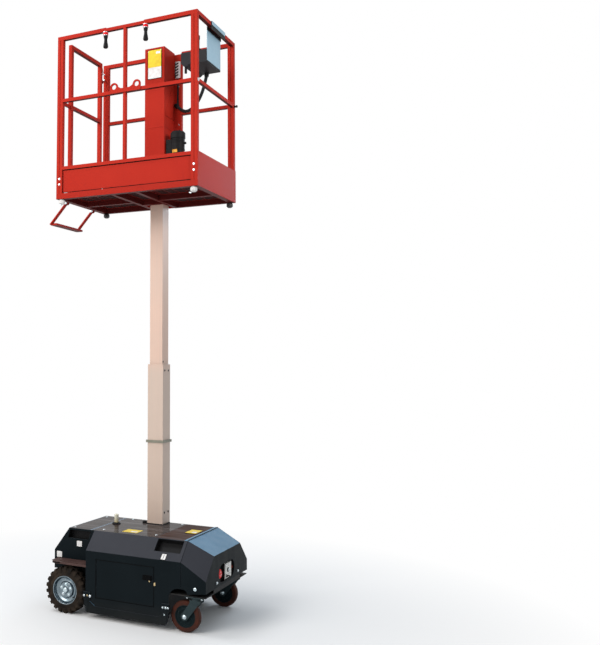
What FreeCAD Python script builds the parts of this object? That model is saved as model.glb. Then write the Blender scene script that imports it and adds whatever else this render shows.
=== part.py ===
import FreeCAD, Part
import math
import os

# Vertical mast lift, in millimetres. +X is the castor end, +Y the left side, +Z up. The wheels stand on Z = 0.
# Places are measured from the middle of the covers, and all pieces move by ORIGIN_X when they are written.
V = FreeCAD.Vector
os.makedirs("parts", exist_ok=True)
ORIGIN_X = 44

# Covers of the chassis
SHEET = 3
BODY_HALF = 380
SHOULDER_RUN = 116
SHOULDER_DROP = 114
DECK_Z = 557
DECK_HALF = BODY_HALF - SHOULDER_RUN
FOLD_Z = DECK_Z - SHOULDER_DROP
SIDE_REAR_X = -276
SEAM_X = 426
SEAM_GAP = 3
SKIRT_Z = 84
SKIRT_FRONT_X = 342

# Nose
NOSE_X = 600
NOSE_TOP_DROP = 83
NOSE_TOP_Z = DECK_Z - NOSE_TOP_DROP
NOSE_TOP_HALF = DECK_HALF - 26
NOSE_WIDE_Z = FOLD_Z - 104
NOSE_WIDE_HALF = BODY_HALF - 4
NOSE_BOTTOM_Z = 264

# Tail
TAIL_X = -600
TAIL_TOP_X = -480
TAIL_SLOPE_Z = 395
TAIL_BOTTOM_Z = 268

# Castors
CASTOR_R = 100
CASTOR_X = NOSE_X - 82
CASTOR_Y = BODY_HALF - 51
CASTOR_TRAIL = 73
CASTOR_WIDTH = 44
CASTOR_BEAD_R = 70
FORK_GAP = 6
FORK_PLATE = 5
FORK_TOP_CLEARANCE = 6
FORK_EYE_R = 24
CASTOR_AXLE_R = 7
SWIVEL_R = 36
SWIVEL_GAP = 0.5
MOUNT_LENGTH = 124
MOUNT_WIDTH = 96

# Frame under the covers
PLATE = 6
FLOOR_Z = 98
SHELF_Z = 2 * CASTOR_R + 40
RAIL_WIDTH = 30
RAIL_HEIGHT = 44
BULKHEAD_SET = 14

# Arch over each castor
ARCH_LENGTH = 132
ARCH_TOP_Z = SHELF_Z + 36
ARCH_REAR_R = 70
ARCH_FRONT_R = 32

# Service doors, with the gap around each and the hinge pins
DOOR_REAR_X = -195
DOOR_FRONT_X = 237
DOOR_LOW_Z = 139
DOOR_HIGH_Z = FOLD_Z - 52
DOOR_GAP = 3
HINGE_PIN_R = 2.8
HINGE_LENGTH = 40
HINGE_INSET = 30
LATCH_LENGTH = 72
LATCH_HEIGHT = 26
LATCH_Z = DOOR_HIGH_Z - 73
LATCH_DEPTH = 10
LATCH_WALL = 2

# Pothole guards
GUARD_THICK = 4
GUARD_LOW_Z = 35
GUARD_HIGH_Z = 84
GUARD_EAR_Z = 172
GUARD_EAR_WIDTH = 54
GUARD_REAR_X = SIDE_REAR_X - 14
GUARD_FRONT_X = SKIRT_FRONT_X + 8

# Drive wheels
DRIVE_X = -443
DRIVE_R = 156
DRIVE_WIDTH = 82
DRIVE_BEAD_R = 96
DRIVE_LUGS = 22
LUG_DEPTH = 9
LUG_REACH = 24
LUG_SHARE = 0.44
AXLE_R = 20
AXLE_CLEARANCE = 0.3
MOTOR_R = 52
MOTOR_LENGTH = 150
BRACKET_Y = DECK_HALF - 38
BRACKET_HALF = 62
FENDER_Z = 2 * DRIVE_R + 28

# Mast: three box sections, one inside the next
MAST_X = -14
MAST_Y = 211
MAST_OUTER = 122
MAST_WALL = 5.5
MAST_GAP = 5
MAST_TOP_Z = 1705
MAST_STROKE = 1110
MAST_TUCK = 37
INNER_FOOT = 77
FOOT_LENGTH = 180
FOOT_THICK = 8
STOP_GAP = 6
PAD_CLEARANCE = 0.3
PAD_WIDTH = 44
PAD_HEIGHT = 60
PAD_DROP = 4
COLLAR_Z = 1139
COLLAR_HEIGHT = 18
COLLAR_REACH = 9.5

# Basket, with its height over the deck when the mast is down
BASKET_HALF = 546
BASKET_RIGHT_Y = -385
BASKET_LEFT_Y = 315
STOWED_GAP = 98
BASKET_Z = DECK_Z + STOWED_GAP + 2 * MAST_STROKE
GUARD_HEIGHT = 1186
TOP_RAIL_Z = BASKET_Z + GUARD_HEIGHT
MID_RAIL_Z = BASKET_Z + 725
TOE_Z = BASKET_Z + 233
TUBE = 28
POST = 22
CENTRE_POST = 20
POST_GROOVE = 3
FLOOR_TUBE = 40
FLOOR_PLATE = 6
MID_RAIL = 24
TOE_RAIL = 24
TOE_INSET = 10
TOE_GAP = 5
CENTRE_RAIL_HALF = 150
CENTRE_RAIL = 22
CENTRE_RAIL_DROP = 5
FOOT_R = 23
FOOT_DROP = 36
FOOT_INSET = 35

# Mast housing in the basket
HOUSING_HALF = 80
HOUSING_RIGHT_Y = 120
HOUSING_LEFT_Y = 305
HOUSING_WALL = 3
HOUSING_CAP = 6
HOUSING_SEAM_Z = BASKET_Z + 578
STRIP_WIDTH = 64
STRIP_DROP = 16

# Gate
GATE_NEAR_Y = -236
GATE_FAR_Y = 220
GATE_TOP_Z = TOP_RAIL_Z - 8
GATE_RISE = 65
GATE_LOW_Z = BASKET_Z + GATE_RISE
GATE_MID_Z = MID_RAIL_Z
GATE_KICK_RISE = 201
GATE_KICK_Z = BASKET_Z + GATE_KICK_RISE
GATE_PIN_Y = BASKET_RIGHT_Y + 42
GATE_PIN_R = 5
GATE_PIN_CLEARANCE = 0.3
GATE_LUG_R = 10
GATE_LUG_HEIGHT = 26
GATE_LATCH_Z = GATE_TOP_Z - 133
GATE_LATCH_GAP = 8

# Step
STEP_RIGHT_Y = -231
STEP_LEFT_Y = 140
STEP_OUT = 139
STEP_DROP = 153
STEP_BAR = 30
STEP_BAR_THICK = 8
STEP_RUNG = 52
STEP_PIVOT_R = 16

# Controls in the basket, hung from the end rail by a hook plate over a rubber pad
CONTROL_LENGTH = 192
CONTROL_RIGHT_Y = -145
CONTROL_LEFT_Y = 112
CONTROL_HEIGHT = 90
CONTROL_HIGH_Z = TOP_RAIL_Z - 183
CONTROL_LOW_Z = CONTROL_HIGH_Z - CONTROL_HEIGHT
HOOK_THICK = 3
HOOK_LIP = 23
RUBBER = 3
RUBBER_SKIRT = 51
STICK_R = 6
STICK_HEIGHT = 112
HOSE_R = 12
GLAND_R = 16
GLAND_LENGTH = 22
WIRE_R = 6.5
WIRE_SET = 15


# Shared shapes
def block(x0, x1, y0, y1, z0, z1):
    return Part.makeBox(abs(x1 - x0), abs(y1 - y0), abs(z1 - z0), V(min(x0, x1), min(y0, y1), min(z0, z1)))


def joined(shapes):
    first = shapes[0]
    return first.fuse(shapes[1:]).removeSplitter() if len(shapes) > 1 else first


def prism(outline, plane, start, length):
    "Straight prism from (a, b) pairs: plane XZ runs along +Y, plane YZ along +X and plane XY along +Z."
    place, way = {
        "XZ": (lambda a, b: V(a, start, b), V(0, length, 0)),
        "YZ": (lambda a, b: V(start, a, b), V(length, 0, 0)),
        "XY": (lambda a, b: V(a, b, start), V(0, 0, length)),
    }[plane]
    points = [place(a, b) for a, b in outline]
    return Part.Face(Part.makePolygon(points + points[:1])).extrude(way)


def turned(profile, axis, x, y, z):
    "Solid of revolution from (along, radius) pairs, on the axis through x, y, z."
    points = [V(along, radius, 0) for along, radius in profile]
    solid = Part.Face(Part.makePolygon(points + points[:1])).revolve(V(0, 0, 0), V(1, 0, 0), 360)
    if axis == "Y":
        solid.rotate(V(0, 0, 0), V(0, 0, 1), 90)
    if axis == "Z":
        solid.rotate(V(0, 0, 0), V(0, 1, 0), -90)
    solid.translate(V(x, y, z))
    return solid


def rod(axis, x, y, z, radius, length):
    way = {"X": V(1, 0, 0), "Y": V(0, 1, 0), "Z": V(0, 0, 1)}[axis]
    return Part.makeCylinder(radius, length, V(x, y, z), way)


def shifted(points, depth, closed):
    "Points of a line or a closed outline, each leg moved to its left by a depth."
    count = len(points)
    moved = []
    for i, (a, b) in enumerate(points):
        near = [k for k in (i - 1, i) if closed or 0 <= k < count - 1]
        legs = [(points[k % count], points[(k + 1) % count]) for k in near]
        turns = [math.atan2(q[1] - p[1], q[0] - p[0]) for p, q in legs]
        half = math.remainder(turns[-1] - turns[0], 2 * math.pi) / 2
        side = turns[0] + half + math.pi / 2
        reach = depth / math.cos(half)
        moved.append((a + reach * math.cos(side), b + reach * math.sin(side)))
    return moved


def folded(line, thick, plane, start, length):
    "Bent sheet: an open line of (a, b) pairs, with its thickness to the left of the way it runs."
    return prism(line + shifted(line, thick, False)[::-1], plane, start, length)


def slotted(axis, x, y, z, half, radius, length):
    "Long rounded shape: a block with a half circle at both ends of its width along Y."
    ends = [rod(axis, x, y + offset, z, radius, length) for offset in (-half, half)]
    return joined([block(x, x + length, y - half, y + half, z - radius, z + radius)] + ends)


def rounded(shape, radius, chosen):
    return shape.makeFillet(radius, [edge for edge in shape.Edges if chosen(edge.CenterOfMass)])


def square_tube(x, y, z0, z1, size, wall):
    half = size / 2
    hole = half - wall
    outer = block(x - half, x + half, y - half, y + half, z0, z1)
    return outer.cut(block(x - hole, x + hole, y - hole, y + hole, z0 - 1, z1 + 1))


def mirrored(shape):
    return shape.mirror(V(0, 0, 0), V(0, 1, 0))


def both_sides(shape):
    return Part.makeCompound([shape, mirrored(shape)])


PARTS = {}


# Chassis frame
def body_outline(inset, low):
    "Six-sided section of the body, seen along X."
    half, top = BODY_HALF - inset, DECK_Z - inset
    slant = math.hypot(SHOULDER_RUN, SHOULDER_DROP)
    fold = FOLD_Z - inset * (slant - SHOULDER_RUN) / SHOULDER_DROP
    edge = DECK_HALF - inset * (slant - SHOULDER_DROP) / SHOULDER_RUN
    return [(-half, low), (-half, fold), (-edge, top), (edge, top), (half, fold), (half, low)]


def chassis_frame():
    wall = BODY_HALF - SHEET
    nose_wall = NOSE_WIDE_HALF - SHEET
    tail_wall = DECK_HALF - SHEET
    bulkhead = SKIRT_FRONT_X - BULKHEAD_SET
    nose = NOSE_X - SHEET
    rail = FLOOR_Z + RAIL_HEIGHT
    # x0, x1, y0, y1, z0, z1
    plates = [
        (SIDE_REAR_X, bulkhead, -wall, wall, FLOOR_Z - PLATE, FLOOR_Z),
        (bulkhead - PLATE, bulkhead, -wall, wall, FLOOR_Z - PLATE, SHELF_Z),
        (bulkhead - PLATE, nose, -nose_wall, nose_wall, SHELF_Z - PLATE, SHELF_Z),
        (nose - PLATE, nose, -NOSE_TOP_HALF, NOSE_TOP_HALF, SHELF_Z - PLATE, NOSE_BOTTOM_Z + 8),
        (TAIL_X + SHEET, SIDE_REAR_X, -tail_wall, tail_wall, TAIL_BOTTOM_Z, TAIL_BOTTOM_Z + PLATE),
        (SIDE_REAR_X, bulkhead, -wall, -wall + RAIL_WIDTH, FLOOR_Z, rail),
        (SIDE_REAR_X, bulkhead, wall - RAIL_WIDTH, wall, FLOOR_Z, rail),
    ]
    solids = [block(*plate) for plate in plates]
    solids.append(prism(body_outline(SHEET, FLOOR_Z - PLATE), "YZ", SIDE_REAR_X, PLATE))
    for side in (-1, 1):
        rear, front = DRIVE_X - BRACKET_HALF, DRIVE_X + BRACKET_HALF
        low = DRIVE_R - BRACKET_HALF
        solids.append(block(rear, front, side * BRACKET_Y, side * (BRACKET_Y + PLATE), low, TAIL_BOTTOM_Z))
    return joined(solids).cut(rod("Y", DRIVE_X, -BODY_HALF, DRIVE_R, AXLE_R, 2 * BODY_HALF))


PARTS["chassis_frame"] = chassis_frame()


# Side covers, folded at the shoulder, with the door opening, the hand pocket and the castor arch
POCKET_REAR_X = 217
POCKET_FRONT_X = 404
POCKET_HIGH = 0.03
POCKET_LOW = 0.62
POCKET_DEPTH = 46
MAST_CLEARANCE = 1


def arch_tool():
    "Space of the castor arches, cut across the whole body."
    rear, front = SKIRT_FRONT_X, SKIRT_FRONT_X + ARCH_LENGTH
    space = block(rear, front, -BODY_HALF - 1, BODY_HALF + 1, 0, ARCH_TOP_Z)
    space = rounded(space, ARCH_REAR_R, lambda c: c.z == ARCH_TOP_Z and c.x == rear)
    return rounded(space, ARCH_FRONT_R, lambda c: abs(c.z - ARCH_TOP_Z) < 0.1 and c.x > front - 1)


def shoulder_point(share, depth):
    "Point on the right shoulder, as a share of the way down it, sunk by a depth."
    slant = math.hypot(SHOULDER_RUN, SHOULDER_DROP)
    y = -(DECK_HALF + share * SHOULDER_RUN) + depth * SHOULDER_DROP / slant
    z = DECK_Z - share * SHOULDER_DROP - depth * SHOULDER_RUN / slant
    return (y, z)


def shoulder_block(inset, out, depth):
    "Block of the pocket's outline, smaller all round by an inset, from outside the shoulder to a depth."
    share = inset / math.hypot(SHOULDER_RUN, SHOULDER_DROP)
    high, low = POCKET_HIGH + share, POCKET_LOW - share
    corners = ((high, -out), (low, -out), (low, depth), (high, depth))
    outline = [shoulder_point(share, sunk) for share, sunk in corners]
    return prism(outline, "YZ", POCKET_REAR_X + inset, POCKET_FRONT_X - POCKET_REAR_X - 2 * inset)


def mast_hole(z0, z1):
    half = MAST_OUTER / 2 + MAST_CLEARANCE
    return block(MAST_X - half, MAST_X + half, MAST_Y - half, MAST_Y + half, z0, z1)


def side_cover():
    line = [(-DECK_HALF, DECK_Z), (-BODY_HALF, FOLD_Z), (-BODY_HALF, SKIRT_Z)]
    cover = folded(line, SHEET, "YZ", SIDE_REAR_X, SEAM_X - SIDE_REAR_X)
    door = block(DOOR_REAR_X, DOOR_FRONT_X, -BODY_HALF - 1, -BODY_HALF + SHEET + 1, DOOR_LOW_Z, DOOR_HIGH_Z)
    return cover.cut([ARCH, door, shoulder_block(0, 1, SHEET + 1)])


ARCH = arch_tool()
LEFT_COVER = mirrored(side_cover()).cut(mast_hole(FLOOR_Z, DECK_Z + 1))
PARTS["side_covers"] = Part.makeCompound([side_cover(), LEFT_COVER])

# Hand pockets: open trays behind the cut-outs in the shoulders and in the tail's sides
TAIL_POCKET = [
    (TAIL_TOP_X - 11, DECK_Z - 70),
    (-325, DECK_Z - 70),
    (-303, DECK_Z - 12),
    (TAIL_TOP_X + 4, DECK_Z - 12),
]


def hand_pockets():
    shoulder = shoulder_block(-SHEET, -SHEET, POCKET_DEPTH).cut(shoulder_block(0, 1, POCKET_DEPTH - SHEET))
    y = -DECK_HALF + SHEET
    tray = prism(shifted(TAIL_POCKET, -SHEET, True), "XZ", y, POCKET_DEPTH)
    tail = tray.cut(prism(TAIL_POCKET, "XZ", y - 1, POCKET_DEPTH - SHEET + 1))
    return Part.makeCompound([shoulder, mirrored(shoulder), tail, mirrored(tail)])


PARTS["hand_pockets"] = hand_pockets()

# Deck: three plates with the mast and beacon openings, and the raised strip at the nose seam
DECK_SEAMS = (-310, 190)
DECK_SEAM_GAP = 2
RIDGE_X = 408
RIDGE_HEIGHT = 3
BEACON_X = -264
BEACON_Y = 31
BEACON_R = 15.5
BEACON_HEIGHT = 72
BEACON_RIM = 5


def deck_cover():
    low = DECK_Z - SHEET
    edge = DECK_HALF - SHEET
    gap = DECK_SEAM_GAP / 2
    cuts = [TAIL_TOP_X + SHEET - gap, DECK_SEAMS[0], DECK_SEAMS[1], SEAM_X + gap]
    plates = [block(x0 + gap, x1 - gap, -edge, edge, low, DECK_Z) for x0, x1 in zip(cuts, cuts[1:])]
    beacon = rod("Z", BEACON_X, BEACON_Y, low - 1, BEACON_R + BEACON_RIM, SHEET + 2)
    plates[1] = plates[1].cut([mast_hole(low - 1, DECK_Z + 1), beacon])
    plates[2] = joined([plates[2], block(RIDGE_X, SEAM_X, -edge, edge, DECK_Z, DECK_Z + RIDGE_HEIGHT)])
    return Part.makeCompound(plates)


PARTS["deck_cover"] = deck_cover()

# Nose cover: a ruled shell from the body's section to the smaller front face, with the recess of the controls
RECESS_Y = -15
RECESS_Z = NOSE_WIDE_Z - 2
RECESS_R = 58
RECESS_HALF = 82
RECESS_DEPTH = 26


def nose_cover():
    back = SEAM_X + SEAM_GAP

    def section(x, inset, sag):
        if x < NOSE_X - SHEET - 1:
            points = body_outline(inset, SHELF_Z + 3 - sag)
        else:
            low, wide, top = NOSE_BOTTOM_Z - sag, NOSE_WIDE_HALF - inset, NOSE_TOP_HALF - inset / 2
            points = [(-wide, low), (-wide, NOSE_WIDE_Z - inset / 2), (-top, NOSE_TOP_Z - inset),
                      (top, NOSE_TOP_Z - inset), (wide, NOSE_WIDE_Z - inset / 2), (wide, low)]
        ring = [V(x, y, z) for y, z in points]
        return Part.makePolygon(ring + ring[:1])

    outer = Part.makeLoft([section(back, 0, 0), section(NOSE_X, 0, 0)], True, True)
    inner = Part.makeLoft([section(back - 0.01, SHEET, 40), section(NOSE_X - SHEET, SHEET, 40)], True, True)
    recess = slotted("X", NOSE_X - SHEET - 1, RECESS_Y, RECESS_Z, RECESS_HALF, RECESS_R, SHEET + 2)
    return outer.cut(inner).cut([ARCH, recess])


PARTS["nose_cover"] = nose_cover()


# Tail cover: bent sheet over the end, with flat sides
def tail_cover():
    line = [(TAIL_X, TAIL_BOTTOM_Z), (TAIL_X, TAIL_SLOPE_Z), (TAIL_TOP_X, DECK_Z)]
    back = folded(line[::-1], SHEET, "XZ", -DECK_HALF, 2 * DECK_HALF)
    outline = [(SIDE_REAR_X, DECK_Z), (TAIL_TOP_X, DECK_Z), (TAIL_X, TAIL_SLOPE_Z), (TAIL_X, TAIL_BOTTOM_Z),
               (SIDE_REAR_X, TAIL_BOTTOM_Z)]
    wall = prism(outline, "XZ", -DECK_HALF, SHEET).cut(prism(TAIL_POCKET, "XZ", -DECK_HALF - 1, SHEET + 2))
    return joined([back, wall, mirrored(wall)])


PARTS["tail_cover"] = tail_cover()


# Service doors, each with a latch tray and two hinge knuckles
def service_door():
    y = -BODY_HALF
    gap, wall = DOOR_GAP, LATCH_WALL
    front = DOOR_FRONT_X - gap - 6
    rear = front - LATCH_LENGTH
    low, high = LATCH_Z - LATCH_HEIGHT / 2, LATCH_Z + LATCH_HEIGHT / 2
    panel = block(DOOR_REAR_X + gap, DOOR_FRONT_X - gap, y, y + SHEET, DOOR_LOW_Z + gap, DOOR_HIGH_Z - gap)
    tray = block(rear - wall, front + wall, y + SHEET, y + SHEET + LATCH_DEPTH + wall, low - wall, high + wall)
    space = block(rear, front, y - 1, y + SHEET + LATCH_DEPTH, low, high)
    deep = y + SHEET + LATCH_DEPTH
    grip_rear, grip_front = front - LATCH_LENGTH * 0.7, front - LATCH_LENGTH * 0.2
    paddle = block(grip_rear, grip_front, y + 4, deep, LATCH_Z - 5, LATCH_Z + 8)
    lock = rod("Y", front - 8, y + 2, low + 8, 5, SHEET + LATCH_DEPTH - 2)
    heights = (DOOR_LOW_Z + HINGE_INSET, DOOR_HIGH_Z - HINGE_INSET - HINGE_LENGTH)
    knuckles = [rod("Z", DOOR_REAR_X + gap, y, z, HINGE_PIN_R, HINGE_LENGTH) for z in heights]
    return joined([joined([panel, tray]).cut(space), paddle, lock] + knuckles)


PARTS["service_door_right"] = service_door()
PARTS["service_door_left"] = mirrored(service_door())

# Batteries, as one block on the floor beside the mast
BATTERY_CLEARANCE = 12
BATTERY_HEIGHT = 220


def battery_block():
    left = MAST_Y - MAST_OUTER / 2 - BATTERY_CLEARANCE
    right = -BODY_HALF + SHEET + RAIL_WIDTH + BATTERY_CLEARANCE
    return block(DOOR_REAR_X, DOOR_FRONT_X - 20, right, left, FLOOR_Z, FLOOR_Z + BATTERY_HEIGHT)


PARTS["battery_block"] = battery_block()

# Shelves over the drive wheels
FENDER_REAR_X = DRIVE_X - 125
FENDER_TIP = 60
FENDER_SLOT = 12
FENDER_LIP = 10


def fender_shelf():
    half = FENDER_TIP / 2
    outline = [(SIDE_REAR_X, -DECK_HALF), (SIDE_REAR_X, -BODY_HALF), (FENDER_REAR_X + half, -BODY_HALF),
               (FENDER_REAR_X, -BODY_HALF + half), (FENDER_REAR_X, -DECK_HALF)]
    middle = -BODY_HALF + half
    rear, front = FENDER_REAR_X + FENDER_TIP, SIDE_REAR_X - 40
    slot = block(rear, front, middle, middle + FENDER_SLOT, FENDER_Z - 1, FENDER_Z + SHEET + 1)
    plate = prism(outline, "XY", FENDER_Z, SHEET).cut(slot)
    edge, low = -BODY_HALF, FENDER_Z - FENDER_LIP
    lip = block(FENDER_REAR_X + half, SIDE_REAR_X, edge, edge + SHEET, low, FENDER_Z)
    return joined([plate, lip])


PARTS["fender_shelves"] = both_sides(fender_shelf())


# Pothole guards: U-shaped plates outside the skirts, hung from a bolted bracket at each end
def pothole_guard():
    rear, front, ear = GUARD_REAR_X, GUARD_FRONT_X, GUARD_EAR_WIDTH
    low, high, top = GUARD_LOW_Z, GUARD_HIGH_Z, GUARD_EAR_Z
    bracket = top - 44
    outline = [
        (rear, top), (rear + ear, top), (rear + ear, bracket), (rear + ear - 6, high + 28),
        (rear + ear + 34, high), (front - ear - 22, high), (front - ear + 6, high + 28),
        (front - ear, bracket), (front - ear, top),
        (front, top), (front, bracket), (front - 8, bracket - 8), (front - 8, low + 29), (front - 29, low),
        (rear + 23, low),
        (rear + 4, low + 53), (rear + 4, bracket - 8), (rear, bracket),
    ]
    face = -BODY_HALF - GUARD_THICK
    solids = [prism(outline, "XZ", face, GUARD_THICK)]
    for x in (rear, front - ear):
        solids.append(block(x, x + ear, face - SHEET, face, top - 40, top))
        solids.append(block(x + ear / 2 - 8, x + ear / 2 + 8, face - SHEET, face, low + 12, top - 40))
    return joined(solids)


PARTS["pothole_guards"] = both_sides(pothole_guard())

# Warning beacon standing through the deck
BEACON_BASE_R = BEACON_R + BEACON_RIM - 1
BEACON_PROFILE = [
    (0, 0),
    (0, BEACON_BASE_R),
    (8, BEACON_BASE_R),
    (8, BEACON_R),
    (BEACON_HEIGHT - 4, BEACON_R),
    (BEACON_HEIGHT, BEACON_R - 4),
    (BEACON_HEIGHT, 0),
]
PARTS["deck_beacon"] = turned(BEACON_PROFILE, "Z", BEACON_X, BEACON_Y, DECK_Z - SHEET)

# Ground controls: a tray in the nose with a plate on a pedestal, a stop button and a lamp
GROUND_PLATE_RIGHT_Y = -51
GROUND_PLATE_LEFT_Y = 70
GROUND_PLATE_HALF = 53
STOP_Y = -124
STOP_R = 30
LAMP_Y = 101
LAMP_R = 17


def ground_controls():
    back = NOSE_X - SHEET - RECESS_DEPTH
    tray = slotted("X", back, RECESS_Y, RECESS_Z, RECESS_HALF, RECESS_R + SHEET, RECESS_DEPTH)
    tray = tray.cut(slotted("X", back + SHEET, RECESS_Y, RECESS_Z, RECESS_HALF, RECESS_R, RECESS_DEPTH))
    pedestal = block(back + SHEET, NOSE_X - SHEET, GROUND_PLATE_RIGHT_Y + 6, GROUND_PLATE_LEFT_Y - 6,
                     RECESS_Z - GROUND_PLATE_HALF + 4, RECESS_Z + GROUND_PLATE_HALF - 4)
    return joined([tray, pedestal])


def stop_button():
    base = NOSE_X - RECESS_DEPTH
    button = [(0, 0), (0, 16), (12, 16), (12, STOP_R), (20, STOP_R), (26, STOP_R - 8), (26, 0)]
    stop = turned(button, "X", base, STOP_Y, RECESS_Z)
    lamp = turned([(0, 0), (0, LAMP_R), (10, LAMP_R), (16, LAMP_R - 6), (16, 0)], "X", base, LAMP_Y, RECESS_Z)
    return Part.makeCompound([stop, lamp])


PARTS["ground_controls"] = ground_controls()
PARTS["stop_button"] = stop_button()
PARTS["nose_plate"] = block(NOSE_X - SHEET, NOSE_X, GROUND_PLATE_RIGHT_Y, GROUND_PLATE_LEFT_Y,
                            RECESS_Z - GROUND_PLATE_HALF, RECESS_Z + GROUND_PLATE_HALF)


# Drive units: gear motor, bracket spigot and stub axle
def drive_unit():
    face = -(BRACKET_Y + PLATE)
    hub_end = -BODY_HALF + 22
    reach = MOTOR_LENGTH
    barrel = [(0, 0), (0, MOTOR_R), (reach - 10, MOTOR_R), (reach, MOTOR_R - 10), (reach, 0)]
    motor = turned(barrel, "Y", DRIVE_X, -BRACKET_Y, DRIVE_R)
    axle = rod("Y", DRIVE_X, hub_end, DRIVE_R, AXLE_R, -BRACKET_Y - hub_end)
    flange = rod("Y", DRIVE_X, face - 12, DRIVE_R, MOTOR_R - 6, 12)
    return joined([motor, axle, flange])


PARTS["drive_units"] = both_sides(drive_unit())


# Drive wheels: tyre with two staggered rows of shoulder lugs, and dished rim
def drive_tyre():
    y = -BODY_HALF
    tread = DRIVE_R - LUG_DEPTH
    bead, wide = DRIVE_BEAD_R, DRIVE_WIDTH
    side = [(0, bead), (0, bead + 8), (4, bead + 22), (6, tread - 8), (16, tread)]
    section = side + [(wide - along, radius) for along, radius in side[::-1]]
    tyre = turned(section, "Y", DRIVE_X, y, DRIVE_R)
    pitch = 360 / DRIVE_LUGS
    width = math.radians(pitch) * DRIVE_R * LUG_SHARE
    envelope = turned([(0, tread - 30), (0, DRIVE_R - 12), (10, DRIVE_R), (DRIVE_WIDTH - 10, DRIVE_R),
                       (DRIVE_WIDTH, DRIVE_R - 12), (DRIVE_WIDTH, tread - 30)], "Y", DRIVE_X, y, DRIVE_R)
    lugs = []
    for row, start in ((0, y), (0.5, y + DRIVE_WIDTH / 2 - 4)):
        for k in range(DRIVE_LUGS):
            lug = block(DRIVE_X - width / 2, DRIVE_X + width / 2, start, start + DRIVE_WIDTH / 2 + 4,
                        DRIVE_R + tread - LUG_REACH, DRIVE_R + DRIVE_R)
            lug.rotate(V(DRIVE_X, 0, DRIVE_R), V(0, 1, 0), (k + row) * pitch)
            lugs.append(lug)
    lugs = Part.makeCompound(lugs).common(envelope)
    return tyre.fuse(lugs.Solids).removeSplitter()


def drive_rim():
    y = -BODY_HALF
    bore = AXLE_R + AXLE_CLEARANCE
    wide = DRIVE_BEAD_R
    # along from the outer face, radius
    section = [
        (2, wide), (2, wide - 5), (6, wide - 7), (10, wide - 8), (26, wide - 16), (32, wide - 28), (32, 58),
        (24, 52), (18, 50), (18, bore), (40, bore), (40, wide - 12), (DRIVE_WIDTH - 2, wide - 12),
        (DRIVE_WIDTH - 2, wide),
    ]
    dish = turned(section, "Y", DRIVE_X, y, DRIVE_R)
    cap = turned([(6, 0), (6, 14), (10, 19), (18, 24), (18.5, 24), (18.5, 0)], "Y", DRIVE_X, y, DRIVE_R)
    return joined([dish, cap])


PARTS["drive_tyre_right"] = drive_tyre()
PARTS["drive_tyre_left"] = mirrored(drive_tyre())
PARTS["drive_rim_right"] = drive_rim()
PARTS["drive_rim_left"] = mirrored(drive_rim())


# Castors: fixed plate, swivelling fork with slanted legs, and wheel
def castor_mounts():
    top = SHELF_Z - PLATE
    seat_z = 2 * CASTOR_R + FORK_TOP_CLEARANCE + FORK_PLATE + SWIVEL_GAP
    plate = block(CASTOR_X - MOUNT_LENGTH / 2, CASTOR_X + MOUNT_LENGTH / 2, -CASTOR_Y - MOUNT_WIDTH / 2,
                  -CASTOR_Y + MOUNT_WIDTH / 2, top - FORK_PLATE, top)
    seat = rod("Z", CASTOR_X, -CASTOR_Y, seat_z, SWIVEL_R, top - FORK_PLATE - seat_z)
    return both_sides(joined([plate, seat]))


def castor_fork():
    wheel_x = CASTOR_X - CASTOR_TRAIL
    inner = CASTOR_WIDTH / 2 + FORK_GAP
    low = 2 * CASTOR_R + FORK_TOP_CLEARANCE
    rear, front = CASTOR_X - SWIVEL_R, CASTOR_X + SWIVEL_R
    reach = inner + FORK_PLATE
    crown = block(rear, front, -CASTOR_Y - reach, -CASTOR_Y + reach, low, low + FORK_PLATE)
    tilt = math.atan2(low - CASTOR_R, CASTOR_X - wheel_x)
    across = (FORK_EYE_R * math.sin(tilt), -FORK_EYE_R * math.cos(tilt))
    leg = [(rear, low), (front, low), (front, low - 12), (CASTOR_X + FORK_EYE_R, low - 18),
           (wheel_x + across[0], CASTOR_R + across[1]), (wheel_x - across[0], CASTOR_R - across[1]),
           (rear, low - 14)]
    solids = [crown]
    for start in (-CASTOR_Y - inner - FORK_PLATE, -CASTOR_Y + inner):
        solids.append(prism(leg, "XZ", start, FORK_PLATE))
        solids.append(rod("Y", wheel_x, start, CASTOR_R, FORK_EYE_R, FORK_PLATE))
    bolt = reach + 7
    solids.append(rod("Y", wheel_x, -CASTOR_Y - bolt, CASTOR_R, CASTOR_AXLE_R, 2 * bolt))
    return joined(solids)


def castor_tyre():
    half = CASTOR_WIDTH / 2
    bead, full = CASTOR_BEAD_R, CASTOR_R
    # along, radius, from the middle of the tread to the bead
    side = [(half - 12, full), (half - 5, full - 1.5), (half, full - 7), (half, bead + 2), (half - 2, bead)]
    profile = [(-a, r) for a, r in side[::-1]] + side
    return turned(profile, "Y", CASTOR_X - CASTOR_TRAIL, -CASTOR_Y, CASTOR_R)


def castor_hub():
    half = CASTOR_WIDTH / 2
    bore, bead = CASTOR_AXLE_R + AXLE_CLEARANCE, CASTOR_BEAD_R
    # along, radius, from the bore outwards and back on the other side
    side = [
        (half + 3, bore), (half + 3, bore + 10), (half - 1, bore + 13), (half - 8, bore + 18),
        (half - 8, bead - 28), (half - 5, bead - 26), (half - 5, bead - 22), (half - 8, bead - 20),
        (half - 8, bead - 10), (half - 2, bead - 5), (half - 2, bead),
    ]
    profile = [(-a, r) for a, r in side] + side[::-1]
    return turned(profile, "Y", CASTOR_X - CASTOR_TRAIL, -CASTOR_Y, CASTOR_R)


PARTS["castor_mounts"] = castor_mounts()
for name, make in (("castor_fork", castor_fork), ("castor_tyre", castor_tyre), ("castor_hub", castor_hub)):
    PARTS[name + "_right"] = make()
    PARTS[name + "_left"] = mirrored(make())


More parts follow.
